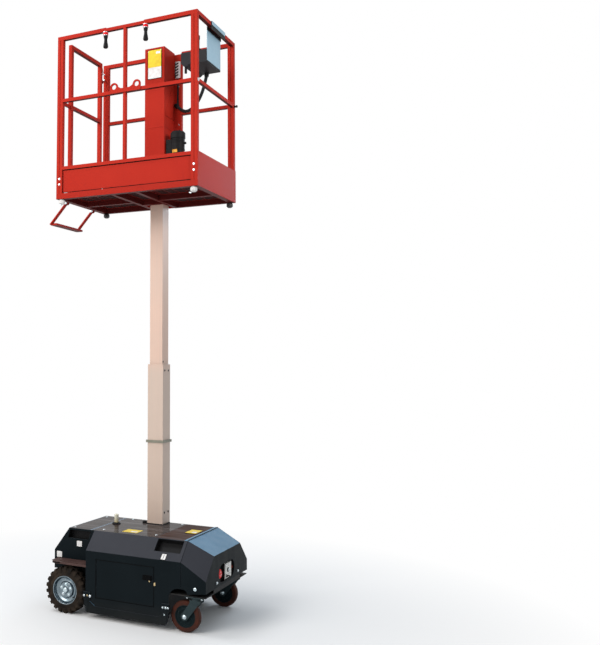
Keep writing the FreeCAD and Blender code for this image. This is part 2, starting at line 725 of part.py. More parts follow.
# Mast: the outer section stands on the floor plate, and the others slide up inside it
MIDDLE_SIZE = MAST_OUTER - 2 * MAST_WALL - 2 * MAST_GAP
INNER_SIZE = MIDDLE_SIZE - 2 * MAST_WALL - 2 * MAST_GAP
MIDDLE_LOW_Z = FLOOR_Z + STOP_GAP + MAST_STROKE
MIDDLE_TOP_Z = BASKET_Z + MAST_TUCK
INNER_LOW_Z = FLOOR_Z + INNER_FOOT + 2 * MAST_STROKE
HOUSING_TOP_Z = TOP_RAIL_Z - HOUSING_CAP


def slide_pads(size, z1):
    "Four pads inside the top of a section, reaching almost to the section that slides in it."
    half = size / 2 - MAST_WALL
    face = half - MAST_GAP + PAD_CLEARANCE
    low, high = z1 - PAD_DROP - PAD_HEIGHT, z1 - PAD_DROP
    right, left = MAST_Y - PAD_WIDTH / 2, MAST_Y + PAD_WIDTH / 2
    pad = block(MAST_X + face, MAST_X + half, right, left, low, high)
    pads = []
    for turn in range(4):
        copy = pad.copy()
        copy.rotate(V(MAST_X, MAST_Y, 0), V(0, 0, 1), 90 * turn)
        pads.append(copy)
    return pads


def mast_outer():
    tube = square_tube(MAST_X, MAST_Y, FLOOR_Z, MAST_TOP_Z, MAST_OUTER, MAST_WALL)
    half = FOOT_LENGTH / 2
    hole = MAST_OUTER / 2 - MAST_WALL
    side, low, high = MAST_OUTER / 2, FLOOR_Z, FLOOR_Z + FOOT_THICK
    foot = block(MAST_X - half, MAST_X + half, MAST_Y - side, MAST_Y + side, low, high)
    foot = foot.cut(block(MAST_X - hole, MAST_X + hole, MAST_Y - hole, MAST_Y + hole, low - 1, high + 1))
    return joined([tube, foot] + slide_pads(MAST_OUTER, MAST_TOP_Z))


def mast_middle():
    tube = square_tube(MAST_X, MAST_Y, MIDDLE_LOW_Z, MIDDLE_TOP_Z, MIDDLE_SIZE, MAST_WALL)
    return joined([tube] + slide_pads(MIDDLE_SIZE, MIDDLE_TOP_Z))


PARTS["mast_outer"] = mast_outer()
COLLAR_SIZE = MAST_OUTER + 2 * COLLAR_REACH
COLLAR_TOP_Z = COLLAR_Z + COLLAR_HEIGHT
PARTS["mast_collar"] = square_tube(MAST_X, MAST_Y, COLLAR_Z, COLLAR_TOP_Z, COLLAR_SIZE, COLLAR_REACH)
PARTS["mast_middle"] = mast_middle()
PARTS["mast_inner"] = square_tube(MAST_X, MAST_Y, INNER_LOW_Z, HOUSING_TOP_Z, INNER_SIZE, MAST_WALL)


# Basket floor: welded tube frame under a plate, both open around the mast, on four rubber feet
def housing_hole(z0, z1):
    return block(MAST_X - HOUSING_HALF, MAST_X + HOUSING_HALF, HOUSING_RIGHT_Y, HOUSING_LEFT_Y, z0, z1)


def basket_frame():
    z0, z1 = BASKET_Z, BASKET_Z + FLOOR_TUBE
    left, right = BASKET_LEFT_Y, BASKET_RIGHT_Y
    front, rear = MAST_X + HOUSING_HALF, MAST_X - HOUSING_HALF
    # x0, x1, y0, y1
    tubes = [
        (-BASKET_HALF, BASKET_HALF, right, right + FLOOR_TUBE),
        (-BASKET_HALF, rear, left - TUBE, left),
        (front, BASKET_HALF, left - TUBE, left),
        (-BASKET_HALF, -BASKET_HALF + FLOOR_TUBE, right, left),
        (BASKET_HALF - FLOOR_TUBE, BASKET_HALF, right, left),
        (rear - TUBE, rear, right, left),
        (front, front + TUBE, right, left),
        (rear, front, HOUSING_RIGHT_Y - TUBE, HOUSING_RIGHT_Y),
        (front, BASKET_HALF, -TUBE, 0),
        (-BASKET_HALF, rear, -TUBE, 0),
    ]
    solids = [block(x0, x1, y0, y1, z0, z1) for x0, x1, y0, y1 in tubes]
    edge = POST_GROOVE / 2 + TUBE
    plate = block(-BASKET_HALF + edge, BASKET_HALF - edge, right + edge, left - edge, z1, z1 + FLOOR_PLATE)
    return joined(solids + [plate.cut(housing_hole(z1 - 1, z1 + FLOOR_PLATE + 1))])


def basket_feet():
    high = FOOT_DROP
    profile = [(0, 0), (0, FOOT_R - 10), (8, FOOT_R), (high - 10, FOOT_R), (high, FOOT_R - 8), (high, 0)]
    x, z = BASKET_HALF - FOOT_INSET, BASKET_Z - FOOT_DROP
    sides = (BASKET_RIGHT_Y + FOOT_R, BASKET_LEFT_Y - FOOT_R)
    return Part.makeCompound([turned(profile, "Z", side * x, y, z) for side in (-1, 1) for y in sides])


PARTS["basket_frame"] = basket_frame()
PARTS["basket_feet"] = basket_feet()


# Guard panels: square tubes, with a dark groove between the posts of neighbouring panels
def guard_right():
    y0, y1 = BASKET_RIGHT_Y, BASKET_RIGHT_Y + TUBE
    floor = BASKET_Z + FLOOR_TUBE
    post = BASKET_HALF - POST - POST_GROOVE
    centre_top = TOP_RAIL_Z - CENTRE_RAIL_DROP
    # x0, x1, z0, z1
    bars = [
        (-BASKET_HALF, -CENTRE_RAIL_HALF, TOP_RAIL_Z - TUBE, TOP_RAIL_Z),
        (CENTRE_RAIL_HALF, BASKET_HALF, TOP_RAIL_Z - TUBE, TOP_RAIL_Z),
        (-CENTRE_RAIL_HALF, CENTRE_RAIL_HALF, centre_top - CENTRE_RAIL, centre_top),
        (-post, -post + POST, floor, TOP_RAIL_Z),
        (post - POST, post, floor, TOP_RAIL_Z),
        (-CENTRE_POST / 2, CENTRE_POST / 2, TOE_Z, centre_top),
        (-post, post, MID_RAIL_Z - MID_RAIL, MID_RAIL_Z),
        (-post, post, TOE_Z - TOE_RAIL, TOE_Z),
    ]
    return joined([block(x0, x1, y0, y1, z0, z1) for x0, x1, z0, z1 in bars])


def guard_left():
    y0, y1 = BASKET_LEFT_Y - TUBE, BASKET_LEFT_Y
    floor = BASKET_Z + FLOOR_TUBE
    post = BASKET_HALF - POST - POST_GROOVE
    rear_side, side = MAST_X - HOUSING_HALF, MAST_X + HOUSING_HALF + STRIP_WIDTH
    # x0, x1, z0, z1
    bars = [(-post, -post + POST, floor, TOP_RAIL_Z), (post - POST, post, floor, TOP_RAIL_Z)]
    for z, depth in ((TOP_RAIL_Z, TUBE), (MID_RAIL_Z, MID_RAIL), (TOE_Z, TOE_RAIL)):
        reach = BASKET_HALF if z == TOP_RAIL_Z else post
        bars += [(-reach, rear_side, z - depth, z), (side, reach, z - depth, z)]
    strip = (MAST_X + HOUSING_HALF, side, floor, TOP_RAIL_Z - STRIP_DROP)
    panel = joined([block(x0, x1, y0, y1, z0, z1) for x0, x1, z0, z1 in bars + [strip]])
    return Part.makeCompound(panel.Solids)


GATE_LUGS = (GATE_LOW_Z + 50, GATE_MID_Z - GATE_LUG_HEIGHT)
LUG_SEAT = 0.5
HINGE_FOOT = 8


def gate_hinge(z):
    "Fixed pin on an ear from the corner post, with a foot under the gate's lug."
    x = -BASKET_HALF + TUBE / 2
    low = z - LUG_SEAT - HINGE_FOOT
    foot = block(x - HINGE_FOOT, x + HINGE_FOOT, BASKET_RIGHT_Y + TUBE, GATE_PIN_Y, low, low + HINGE_FOOT)
    disc = rod("Z", x, GATE_PIN_Y, low, GATE_LUG_R, HINGE_FOOT)
    pin = rod("Z", x, GATE_PIN_Y, low, GATE_PIN_R, HINGE_FOOT + LUG_SEAT + GATE_LUG_HEIGHT + 6)
    return [foot, disc, pin]


def guard_ends():
    "Corner posts at both ends, with the gate's hinge pins at one and the rails of the closed end."
    z0, z1 = BASKET_Z + FLOOR_TUBE, TOP_RAIL_Z - TUBE
    right, left = BASKET_RIGHT_Y, BASKET_LEFT_Y
    corners = [(x, y) for x in (-BASKET_HALF, BASKET_HALF - POST) for y in (right, left - TUBE)]
    posts = [block(x, x + POST, y, y + TUBE, z0, z1) for x, y in corners]
    hinges = [piece for z in GATE_LUGS for piece in gate_hinge(z)]
    x0, x1 = BASKET_HALF - POST, BASKET_HALF
    levels = ((MID_RAIL_Z, MID_RAIL), (TOE_Z, TOE_RAIL))
    rails = [block(x0, x1, right + TUBE, left - TUBE, z - depth, z) for z, depth in levels]
    top = block(BASKET_HALF - TUBE, x1, right + TUBE, left - TUBE, TOP_RAIL_Z - TUBE, TOP_RAIL_Z)
    return Part.makeCompound([joined([posts[0]] + hinges), posts[1], joined(posts[2:] + rails), top])


def toe_boards():
    floor = BASKET_Z + FLOOR_TUBE
    post = BASKET_HALF - 2 * POST - POST_GROOVE
    y = BASKET_RIGHT_Y + TOE_INSET
    right = block(-post, post, y, y + SHEET, floor + TOE_GAP, TOE_Z - TOE_RAIL)
    y = BASKET_LEFT_Y - TOE_INSET - SHEET
    rear = block(-post, MAST_X - HOUSING_HALF, y, y + SHEET, floor, TOE_Z - TOE_RAIL)
    front = block(MAST_X + HOUSING_HALF + STRIP_WIDTH, post, y, y + SHEET, floor, TOE_Z - TOE_RAIL)
    end = block(BASKET_HALF, BASKET_HALF + SHEET, BASKET_RIGHT_Y, BASKET_LEFT_Y, BASKET_Z, TOE_Z)
    return Part.makeCompound([right, rear, front, end])


PARTS["guard_right"] = guard_right()
PARTS["guard_left"] = guard_left()
PARTS["guard_ends"] = guard_ends()
PARTS["toe_boards"] = toe_boards()

# Mast housing: a tall sheet box, open below, that carries the inner mast from its cap, with a band and a gusset
SEAM_BAND = 4
SEAM_REACH = 1.5
GUSSET_RISE = 665
GUSSET_Z = BASKET_Z + GUSSET_RISE
GUSSET_HEIGHT = 238
GUSSET_STEP = 25
GUSSET_LOW_Y = 141
GUSSET_HIGH_Y = 246


def mast_housing():
    wall, reach, right = HOUSING_WALL, SEAM_REACH, HOUSING_RIGHT_Y
    front, rear = MAST_X + HOUSING_HALF, MAST_X - HOUSING_HALF
    strip = BASKET_LEFT_Y - TUBE
    outer = block(rear, front, right, HOUSING_LEFT_Y, BASKET_Z, TOP_RAIL_Z)
    inner = block(rear + wall, front - wall, right + wall, HOUSING_LEFT_Y - wall, BASKET_Z - 1, HOUSING_TOP_Z)
    band = block(rear, front + reach, right - reach, strip, HOUSING_SEAM_Z, HOUSING_SEAM_Z + SEAM_BAND)
    low, top, foot = GUSSET_Z, GUSSET_Z + GUSSET_HEIGHT, GUSSET_LOW_Y
    outline = [(foot, low), (foot, low + GUSSET_STEP), (GUSSET_HIGH_Y, top), (strip, top), (strip, low)]
    gusset = prism(outline, "YZ", front, SHEET)
    return joined([outer, band, gusset]).cut(inner)


PARTS["mast_housing"] = mast_housing()

# Harness plate on the middle rail: two rings joined by a web
RING_X = 11
RING_PITCH = 176
RING_R = 30
RING_HOLE_R = 17
RING_Z = MID_RAIL_Z + 20
RING_THICK = 8


def harness_plate():
    y = BASKET_RIGHT_Y - RING_THICK
    low = MID_RAIL_Z - MID_RAIL
    centres = [RING_X - RING_PITCH / 2, RING_X + RING_PITCH / 2]
    web = [(centres[0] - RING_R, low), (centres[1] + RING_R, low), (centres[1] + RING_R, RING_Z - 6),
           (centres[1] - RING_R, RING_Z), (RING_X + 34, MID_RAIL_Z + 6), (RING_X - 34, MID_RAIL_Z + 6),
           (centres[0] + RING_R, RING_Z), (centres[0] - RING_R, RING_Z - 6)]
    solids = [prism(web, "XZ", y, RING_THICK)]
    solids += [rod("Y", x, y, RING_Z, RING_R, RING_THICK) for x in centres]
    holes = [rod("Y", x, y - 1, RING_Z, RING_HOLE_R, RING_THICK + 2) for x in centres]
    return joined(solids).cut(holes)


PARTS["harness_plate"] = harness_plate()

# Locking grips under the joints of the top rail, and the rubber pad around the end rail under the hook plate
GRIP_X = 157
GRIP_LENGTH = 84
GRIP_PIN = 30


def rail_grips():
    y = BASKET_RIGHT_Y + TUBE / 2
    top = TOP_RAIL_Z - TUBE
    neck, collar = GRIP_LENGTH, GRIP_LENGTH + GRIP_PIN
    profile = [
        (0, 0), (0, 13), (5, 17), (16, 17), (neck * 0.55, 12), (neck * 0.75, 11), (neck - 6, 15), (neck, 15),
        (neck, 8), (neck + 6, 8), (neck + 6, 15), (collar - 6, 17), (collar, 17), (collar, 0),
    ]
    grips = [turned(profile, "Z", x, y, top - GRIP_LENGTH - GRIP_PIN) for x in (-GRIP_X, GRIP_X)]
    low = TOP_RAIL_Z - RUBBER_SKIRT
    inside, outside = BASKET_HALF - TUBE, BASKET_HALF
    line = [(inside, low), (inside, TOP_RAIL_Z), (outside, TOP_RAIL_Z), (outside, low)]
    pad = folded(line, RUBBER, "XZ", CONTROL_RIGHT_Y, CONTROL_LEFT_Y - CONTROL_RIGHT_Y)
    return Part.makeCompound(grips + [pad])


PARTS["rail_grips"] = rail_grips()

# Platform controls: console, hook plate over the end rail, stick, key stub, and the glands of the hose
PLATE_X = BASKET_HALF - TUBE - RUBBER
CONSOLE_FRONT_X = PLATE_X - HOOK_THICK
CONSOLE_REAR_X = CONSOLE_FRONT_X - CONTROL_LENGTH
CHIN_LENGTH = 56
CHIN_DROP = 14
STUB_R = 9
STUB_LENGTH = 44


def control_box():
    "Console with a chin along the lower rear edge."
    rear, front, low, top = CONSOLE_REAR_X, CONSOLE_FRONT_X, CONTROL_LOW_Z, CONTROL_HIGH_Z
    outline = [(rear, low + 10), (rear, top), (front, top), (front, low), (rear + CHIN_LENGTH, low),
               (rear + CHIN_LENGTH - 16, low - CHIN_DROP), (rear + 24, low - CHIN_DROP)]
    box = prism(outline, "XZ", CONTROL_RIGHT_Y, CONTROL_LEFT_Y - CONTROL_RIGHT_Y)
    return rounded(box, 6, lambda c: c.z > top - 1 and c.x < front - 1)


def control_bracket():
    "Hook plate: up behind the console, over the padded rail and down outside."
    over = TOP_RAIL_Z + RUBBER
    outside = BASKET_HALF + RUBBER
    line = [(PLATE_X, CONTROL_LOW_Z + 12), (PLATE_X, over), (outside, over), (outside, over - HOOK_LIP)]
    return folded(line, HOOK_THICK, "XZ", CONTROL_RIGHT_Y + 6, CONTROL_LEFT_Y - CONTROL_RIGHT_Y - 12)


# Way of the hose from the console to the strip beside the housing: distance along it, and drop below the console
HOSE_START = (410, 97)
HOSE_END = (82, 285)
HOSE_ROUTE = [(0, 22), (18, 68), (50, 126), (98, 178), (164, 212), (238, 218), (300, 192), (352, 152)]
ELBOW_REACH = 24
WIRE_TOP_Z = CONTROL_LOW_Z + 66


def hose_points():
    run = math.dist(HOSE_START, HOSE_END)
    way = [(HOSE_END[k] - HOSE_START[k]) / run for k in (0, 1)]
    x, y = HOSE_START
    return [V(x + along * way[0], y + along * way[1], CONTROL_LOW_Z - drop) for along, drop in HOSE_ROUTE]


def console_fittings():
    points = hose_points()
    stick_x, stick_y = CONSOLE_REAR_X + CONTROL_LENGTH * 0.64, CONTROL_RIGHT_Y + 26
    profile = [(0, 0), (0, 22), (8, 20), (18, STICK_R), (STICK_HEIGHT - 34, STICK_R), (STICK_HEIGHT - 28, 9),
               (STICK_HEIGHT - 4, 9), (STICK_HEIGHT, 6), (STICK_HEIGHT, 0)]
    stick = turned(profile, "Z", stick_x, stick_y, CONTROL_HIGH_Z)
    stub_x, stub_z = CONSOLE_REAR_X + CHIN_LENGTH - 24, CONTROL_LOW_Z - CHIN_DROP - STUB_LENGTH
    stub = rod("Z", stub_x, CONTROL_RIGHT_Y + STUB_R + 2, stub_z, STUB_R, STUB_LENGTH)
    up = points[0].sub(points[1])
    gland = Part.makeCylinder(GLAND_R, 2 * GLAND_LENGTH, points[0], up)
    gland = gland.cut(block(stick_x - CONTROL_LENGTH, BASKET_HALF, CONTROL_RIGHT_Y, CONTROL_LEFT_Y,
                            CONTROL_LOW_Z, CONTROL_HIGH_Z))
    way = points[-1].sub(points[-2]).normalize()
    bend = points[-1].add(V(way.x * ELBOW_REACH, way.y * ELBOW_REACH, way.z * ELBOW_REACH))
    strip = BASKET_LEFT_Y - TUBE
    elbow = [Part.makeCylinder(GLAND_R, ELBOW_REACH, points[-1], way), Part.makeSphere(GLAND_R, bend),
             rod("Y", bend.x, bend.y, bend.z, GLAND_R, strip - bend.y),
             rod("Z", bend.x + WIRE_SET, strip - WIRE_R, bend.z, WIRE_R, WIRE_TOP_Z - bend.z)]
    behind = block(bend.x - 40, bend.x + 40, strip, strip + 40, bend.z - 40, WIRE_TOP_Z)
    return Part.makeCompound([stick, stub, gland, joined(elbow).cut(behind)])


def tangent_path(points):
    "Straight runs joined by arcs, each arc as large as its two runs allow."
    edges, start, radii = [], points[0], []
    for before, corner, after in zip(points, points[1:], points[2:]):
        back, ahead = before.sub(corner), after.sub(corner)
        cut = 0.45 * min(back.Length, ahead.Length)
        half = (math.pi - back.getAngle(ahead)) / 2
        back.normalize()
        ahead.normalize()
        radius = cut / math.tan(half)
        inward = back.add(ahead).normalize()
        depth = radius / math.cos(half) - radius
        first = corner.add(V(back.x * cut, back.y * cut, back.z * cut))
        middle = corner.add(V(inward.x * depth, inward.y * depth, inward.z * depth))
        last = corner.add(V(ahead.x * cut, ahead.y * cut, ahead.z * cut))
        edges += [Part.LineSegment(start, first).toShape(), Part.Arc(first, middle, last).toShape()]
        start = last
        radii.append(round(radius))
    edges.append(Part.LineSegment(start, points[-1]).toShape())
    return Part.Wire(edges), radii


def control_cable():
    points = hose_points()
    path, radii = tangent_path(points)
    ring = Part.Wire([Part.makeCircle(HOSE_R, points[0], points[1].sub(points[0]))])
    hose = path.makePipeShell([ring], True, False)
    share = hose.Volume / (math.pi * HOSE_R ** 2 * path.Length)
    print("hose radii", radii, "length", round(path.Length), "volume share", round(share, 4))
    return hose


PARTS["control_box"] = control_box()
PARTS["control_bracket"] = control_bracket()
PARTS["console_fittings"] = console_fittings()
PARTS["control_cable"] = control_cable()

# Hydraulic power pack on the basket floor beside the housing
PACK_X = 160
PACK_Y = 158
PACK_HALF = 62
PACK_MOTOR_R = 50
TANK_HEIGHT = 305
PACK_HEIGHT = 535
TANK_TOP_Z = BASKET_Z + TANK_HEIGHT
PACK_TOP_Z = BASKET_Z + PACK_HEIGHT
STARTER_REACH = 34
STARTER_HALF = 24


def power_pack():
    floor = BASKET_Z + FLOOR_TUBE + FLOOR_PLATE
    radius = PACK_MOTOR_R
    height = PACK_TOP_Z - TANK_TOP_Z
    half = PACK_HALF
    tank = block(PACK_X - half, PACK_X + half, PACK_Y - half, PACK_Y + half, floor, TANK_TOP_Z)
    profile = [
        (0, 0), (0, radius + 6), (14, radius + 6), (14, radius), (90, radius), (90, radius + 2),
        (96, radius + 2), (96, radius), (height - 52, radius), (height - 52, radius + 5),
        (height - 12, radius + 5), (height, radius - 6), (height, 0),
    ]
    motor = turned(profile, "Z", PACK_X, PACK_Y, TANK_TOP_Z)
    starter = block(PACK_X - radius - STARTER_REACH, PACK_X, PACK_Y - STARTER_HALF, PACK_Y + STARTER_HALF,
                    TANK_TOP_Z + 24, PACK_TOP_Z - 56)
    port = rod("X", PACK_X, PACK_Y, PACK_TOP_Z - 90, 9, radius + 14)
    return joined([tank, motor, starter, port])


PARTS["power_pack"] = power_pack()


# Step under the entry: two flat bars on pivots, and a rung
def step_frame():
    x0, z0 = -BASKET_HALF, BASKET_Z + FLOOR_TUBE
    low = BASKET_Z - STEP_DROP
    line = [(x0, z0), (x0, BASKET_Z), (x0 - STEP_OUT, low)]
    solids = []
    for y in (STEP_RIGHT_Y, STEP_LEFT_Y):
        solids.append(folded(line[::-1], STEP_BAR_THICK, "XZ", y - STEP_BAR / 2, STEP_BAR))
        pivot_x, pivot_y = x0 - STEP_PIVOT_R / 2, y - STEP_BAR / 2 - 3
        solids.append(rod("Y", pivot_x, pivot_y, BASKET_Z + 2, STEP_PIVOT_R, STEP_BAR + 6))
    outer = x0 - STEP_OUT - 5
    rung = [(outer, low - 2), (outer + STEP_RUNG, low - 2), (outer + STEP_RUNG, low + 12), (outer, low + 12)]
    solids.append(prism(rung, "XZ", STEP_RIGHT_Y, STEP_LEFT_Y - STEP_RIGHT_Y))
    inside = x0 + 2 * STEP_PIVOT_R
    clear = block(x0, inside, STEP_RIGHT_Y - STEP_BAR, STEP_LEFT_Y + STEP_BAR, low, z0 + 1)
    return joined(solids).cut(clear)


PARTS["step_frame"] = step_frame()


# Entry gate: a tube frame on two hinge arms, with the latch at its free post
def gate_frame():
    x0, x1 = -BASKET_HALF, -BASKET_HALF + TUBE
    far, near = GATE_FAR_Y, GATE_NEAR_Y
    # y0, y1, z0, z1
    bars = [
        (near, near + TUBE, GATE_LOW_Z, GATE_TOP_Z),
        (far - TUBE, far, GATE_LOW_Z, GATE_TOP_Z),
        (near, far, GATE_TOP_Z - TUBE, GATE_TOP_Z),
        (near, far, GATE_MID_Z - MID_RAIL, GATE_MID_Z),
        (near, far, GATE_LOW_Z, GATE_LOW_Z + TUBE),
    ]
    solids = [block(x0, x1, y0, y1, z0, z1) for y0, y1, z0, z1 in bars]
    kick_x = x0 + TOE_INSET
    solids.append(block(kick_x, kick_x + SHEET, near, far, GATE_LOW_Z, GATE_KICK_Z))
    centre = x0 + TUBE / 2
    bore = GATE_PIN_R + GATE_PIN_CLEARANCE
    for z in GATE_LUGS:
        solids.append(block(centre - 6, centre + 6, GATE_PIN_Y, near, z, z + GATE_LUG_HEIGHT))
        solids.append(rod("Z", centre, GATE_PIN_Y, z, GATE_LUG_R, GATE_LUG_HEIGHT))
    holes = [rod("Z", centre, GATE_PIN_Y, z - 1, bore, GATE_LUG_HEIGHT + 2) for z in GATE_LUGS]
    return joined(solids).cut(holes)


def gate_latch():
    "Lever, ringed spring and hook plate from the gate's free post towards the corner post."
    x = -BASKET_HALF + TUBE / 2
    reach = BASKET_LEFT_Y - TUBE - GATE_FAR_Y - GATE_LATCH_GAP
    low, far = GATE_LATCH_Z, GATE_FAR_Y
    ear = block(x - 3, x + 3, far, far + 10, low, low + 84)
    hook = prism([(far, low), (far + reach, low), (far + reach, low + 26), (far + reach - 12, low + 26),
                  (far + reach - 12, low + 12), (far, low + 12)], "YZ", x - 3, 6)
    rings = [(0, 0), (0, 7)]
    for k in range(6):
        rings += [(6 + 6 * k, 7), (8 + 6 * k, 5), (10 + 6 * k, 7)]
    spring = turned(rings + [(reach - 14, 7), (reach - 14, 0)], "Y", x, far + 8, low + 62)
    arm = [(far, low + 132), (far + 8, low + 132), (far + 34, low + 74), (far + 26, low + 66),
           (far + 10, low + 84), (far, low + 84)]
    return joined([ear, hook, spring, prism(arm, "YZ", x - 4, 8)])


PARTS["gate_frame"] = gate_frame()
PARTS["gate_latch"] = gate_latch()

for name, shape in PARTS.items():
    placed = shape.copy()
    placed.translate(V(ORIGIN_X, 0, 0))
    placed.exportStep("parts/" + name + ".step")
    if not placed.isValid():
        print("not valid:", name)
print(len(PARTS), "nodes written")
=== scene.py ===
import bmesh
import bpy
import math
from mathutils import Matrix, Vector


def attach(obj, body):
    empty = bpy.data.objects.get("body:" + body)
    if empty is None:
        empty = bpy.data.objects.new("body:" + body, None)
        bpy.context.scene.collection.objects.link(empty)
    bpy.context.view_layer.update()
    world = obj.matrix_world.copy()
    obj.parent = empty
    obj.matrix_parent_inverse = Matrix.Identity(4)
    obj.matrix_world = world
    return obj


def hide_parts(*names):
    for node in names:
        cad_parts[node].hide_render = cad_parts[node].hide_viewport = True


# Frame and view
# The lift stands with its mast raised. The picture is taken from its right-hand side, a little towards the
# nose, from a standing person's eye height. The lift is at the left of the picture, seen slightly from below.
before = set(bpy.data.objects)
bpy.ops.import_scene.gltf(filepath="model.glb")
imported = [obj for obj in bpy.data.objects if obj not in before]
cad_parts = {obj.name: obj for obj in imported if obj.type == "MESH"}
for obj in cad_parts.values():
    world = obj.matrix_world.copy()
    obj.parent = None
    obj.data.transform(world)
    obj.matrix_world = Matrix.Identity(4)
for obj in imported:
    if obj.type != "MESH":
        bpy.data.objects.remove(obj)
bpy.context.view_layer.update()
scene = bpy.context.scene
scene.view_settings.view_transform = "Standard"

eye = Vector((2.7515, -5.442, 1.722))
yaw, pitch, roll = (math.radians(angle) for angle in (28.385, 4.149, 0.365))
focal_pixels = 849.03
picture_width, picture_height = 600, 645
aim_pixel = (119.66, 300.1)
film_height = 36

lens = bpy.data.cameras.new("camera")
lens.sensor_fit = "VERTICAL"
lens.sensor_height = film_height
lens.sensor_width = film_height
lens.lens = focal_pixels * film_height / picture_height
lens.shift_x = (picture_width / 2 - aim_pixel[0]) / picture_height
lens.shift_y = (aim_pixel[1] - picture_height / 2) / picture_height
camera = bpy.data.objects.new("camera", lens)
turn = Matrix.Rotation(yaw, 4, "Z")
rise = Matrix.Rotation(math.pi / 2 + pitch, 4, "X")
lean = Matrix.Rotation(roll, 4, "Z")
camera.matrix_world = Matrix.Translation(eye) @ turn @ rise @ lean
scene.collection.objects.link(camera)
scene.camera = camera


# Control hose
# Black rubber hose with the platform's control wires. It hangs from the console in a loose bend and goes
# into an elbow on the strip beside the mast housing. Both ends are held in screwed glands.
class Field:
    "Output of a shader node, with sums on it written as Python expressions."

    def __init__(self, nodes, socket):
        self.nodes = nodes
        self.socket = socket

    def sum(self, operation, first, second):
        return self.nodes.node("ShaderNodeMath", {"operation": operation}, {0: first, 1: second})

    def __add__(self, other):
        return self.sum("ADD", self, other)

    def __sub__(self, other):
        return self.sum("SUBTRACT", self, other)

    def __rsub__(self, other):
        return self.sum("SUBTRACT", other, self)

    def __mul__(self, other):
        return self.sum("MULTIPLY", self, other)

    def __truediv__(self, other):
        return self.sum("DIVIDE", self, other)

    __radd__ = __add__
    __rmul__ = __mul__


class Nodes:
    "Nodes of a material or of the sky."

    def __init__(self, tree):
        self.tree = tree

    def join(self, socket, value):
        if isinstance(value, Field):
            self.tree.links.new(value.socket, socket)
        elif hasattr(value, "__len__") and len(value) == 3 and socket.type == "RGBA":
            socket.default_value = (*value, 1)
        else:
            socket.default_value = value

    def node(self, kind, settings, sockets, output=0):
        made = self.tree.nodes.new(kind)
        for setting, value in settings.items():
            if setting == "stops":
                while len(made.color_ramp.elements) < len(value):
                    made.color_ramp.elements.new(0.5)
                for element, (position, level) in zip(made.color_ramp.elements, value):
                    element.position = position
                    element.color = (level, level, level, 1)
            else:
                setattr(made, setting, value)
        for socket, value in sockets.items():
            self.join(made.inputs[socket], value)
        return Field(self, made.outputs[output])


class Finish(Nodes):
    "Material with its nodes, and the shader that they feed."

    def __init__(self, name, colour, roughness, metallic=0.0, gloss=0.5):
        self.material = bpy.data.materials.new(name)
        self.material.use_nodes = True
        super().__init__(self.material.node_tree)
        self.shader = self.tree.nodes["Principled BSDF"]
        self.feed("Base Color", colour)
        self.feed("Roughness", roughness)
        self.feed("Metallic", metallic)
        self.feed("Specular IOR Level", gloss)
        self.place = self.node("ShaderNodeTexCoord", {}, {}, "Object")

    def feed(self, socket, value):
        self.join(self.shader.inputs[socket], value)

    def noise(self, scale, detail, stretch=(1, 1, 1)):
        place = self.node("ShaderNodeMapping", {}, {"Vector": self.place, "Scale": stretch})
        sockets = {"Vector": place, "Scale": scale, "Detail": detail}
        return self.node("ShaderNodeTexNoise", {}, sockets, "Fac")

    def steps(self, value, *stops):
        return self.node("ShaderNodeValToRGB", {"stops": stops}, {"Fac": value})

    def mix(self, share, first, second):
        return self.node("ShaderNodeMix", {"data_type": "RGBA"}, {0: share, 6: first, 7: second}, 2)

    def along(self, axis):
        "Position along X, Y or Z, in metres."
        return self.node("ShaderNodeSeparateXYZ", {}, {"Vector": self.place}, axis)

    def facing(self, axis):
        "How far the surface faces along X, Y or Z, from -1 to 1."
        way = self.node("ShaderNodeNewGeometry", {}, {}, "Normal")
        return self.node("ShaderNodeSeparateXYZ", {}, {"Vector": way}, axis)

    def soft_edges(self, radius):
        "Direction of the surface with its edges rounded off."
        return self.node("ShaderNodeBevel", {"samples": 6}, {"Radius": radius})

    def edge_mask(self, soft):
        """Mask of the edges, where the rounded surface differs from the true one."""
        true = self.node("ShaderNodeNewGeometry", {}, {}, "Normal")
        same = self.node("ShaderNodeVectorMath", {"operation": "DOT_PRODUCT"}, {0: soft, 1: true}, "Value")
        return self.steps(1 - same, (0.02, 0), (0.25, 1))

    def bump(self, height, depth, **normal):
        self.feed("Normal", self.node("ShaderNodeBump", {}, {"Height": height, "Distance": depth, **normal}))

    def surface(self, colour, roughness, height, depth, edge, edge_share=0, edge_colour=None):
        """Colour, roughness and bumps, with rounded edges in their own colour for wear and painted
        highlights.
        """
        soft = self.soft_edges(edge)
        if edge_share:
            colour = self.mix(self.edge_mask(soft) * edge_share, colour, edge_colour)
        self.feed("Base Color", colour)
        self.feed("Roughness", roughness)
        self.bump(height, depth, Normal=soft)
        return self


def hose_rubber():
    rubber = Finish("hose_rubber", (0.012, 0.013, 0.015), 0.55, gloss=0.15)
    grain = rubber.noise(420, 4)
    dust = rubber.noise(26, 3)
    rubber.feed("Base Color", rubber.mix(dust * 0.35, (0.009, 0.01, 0.012), (0.035, 0.037, 0.04)))
    rubber.feed("Roughness", 0.42 + grain * 0.3)
    rubber.bump(grain, 0.0004)
    return rubber


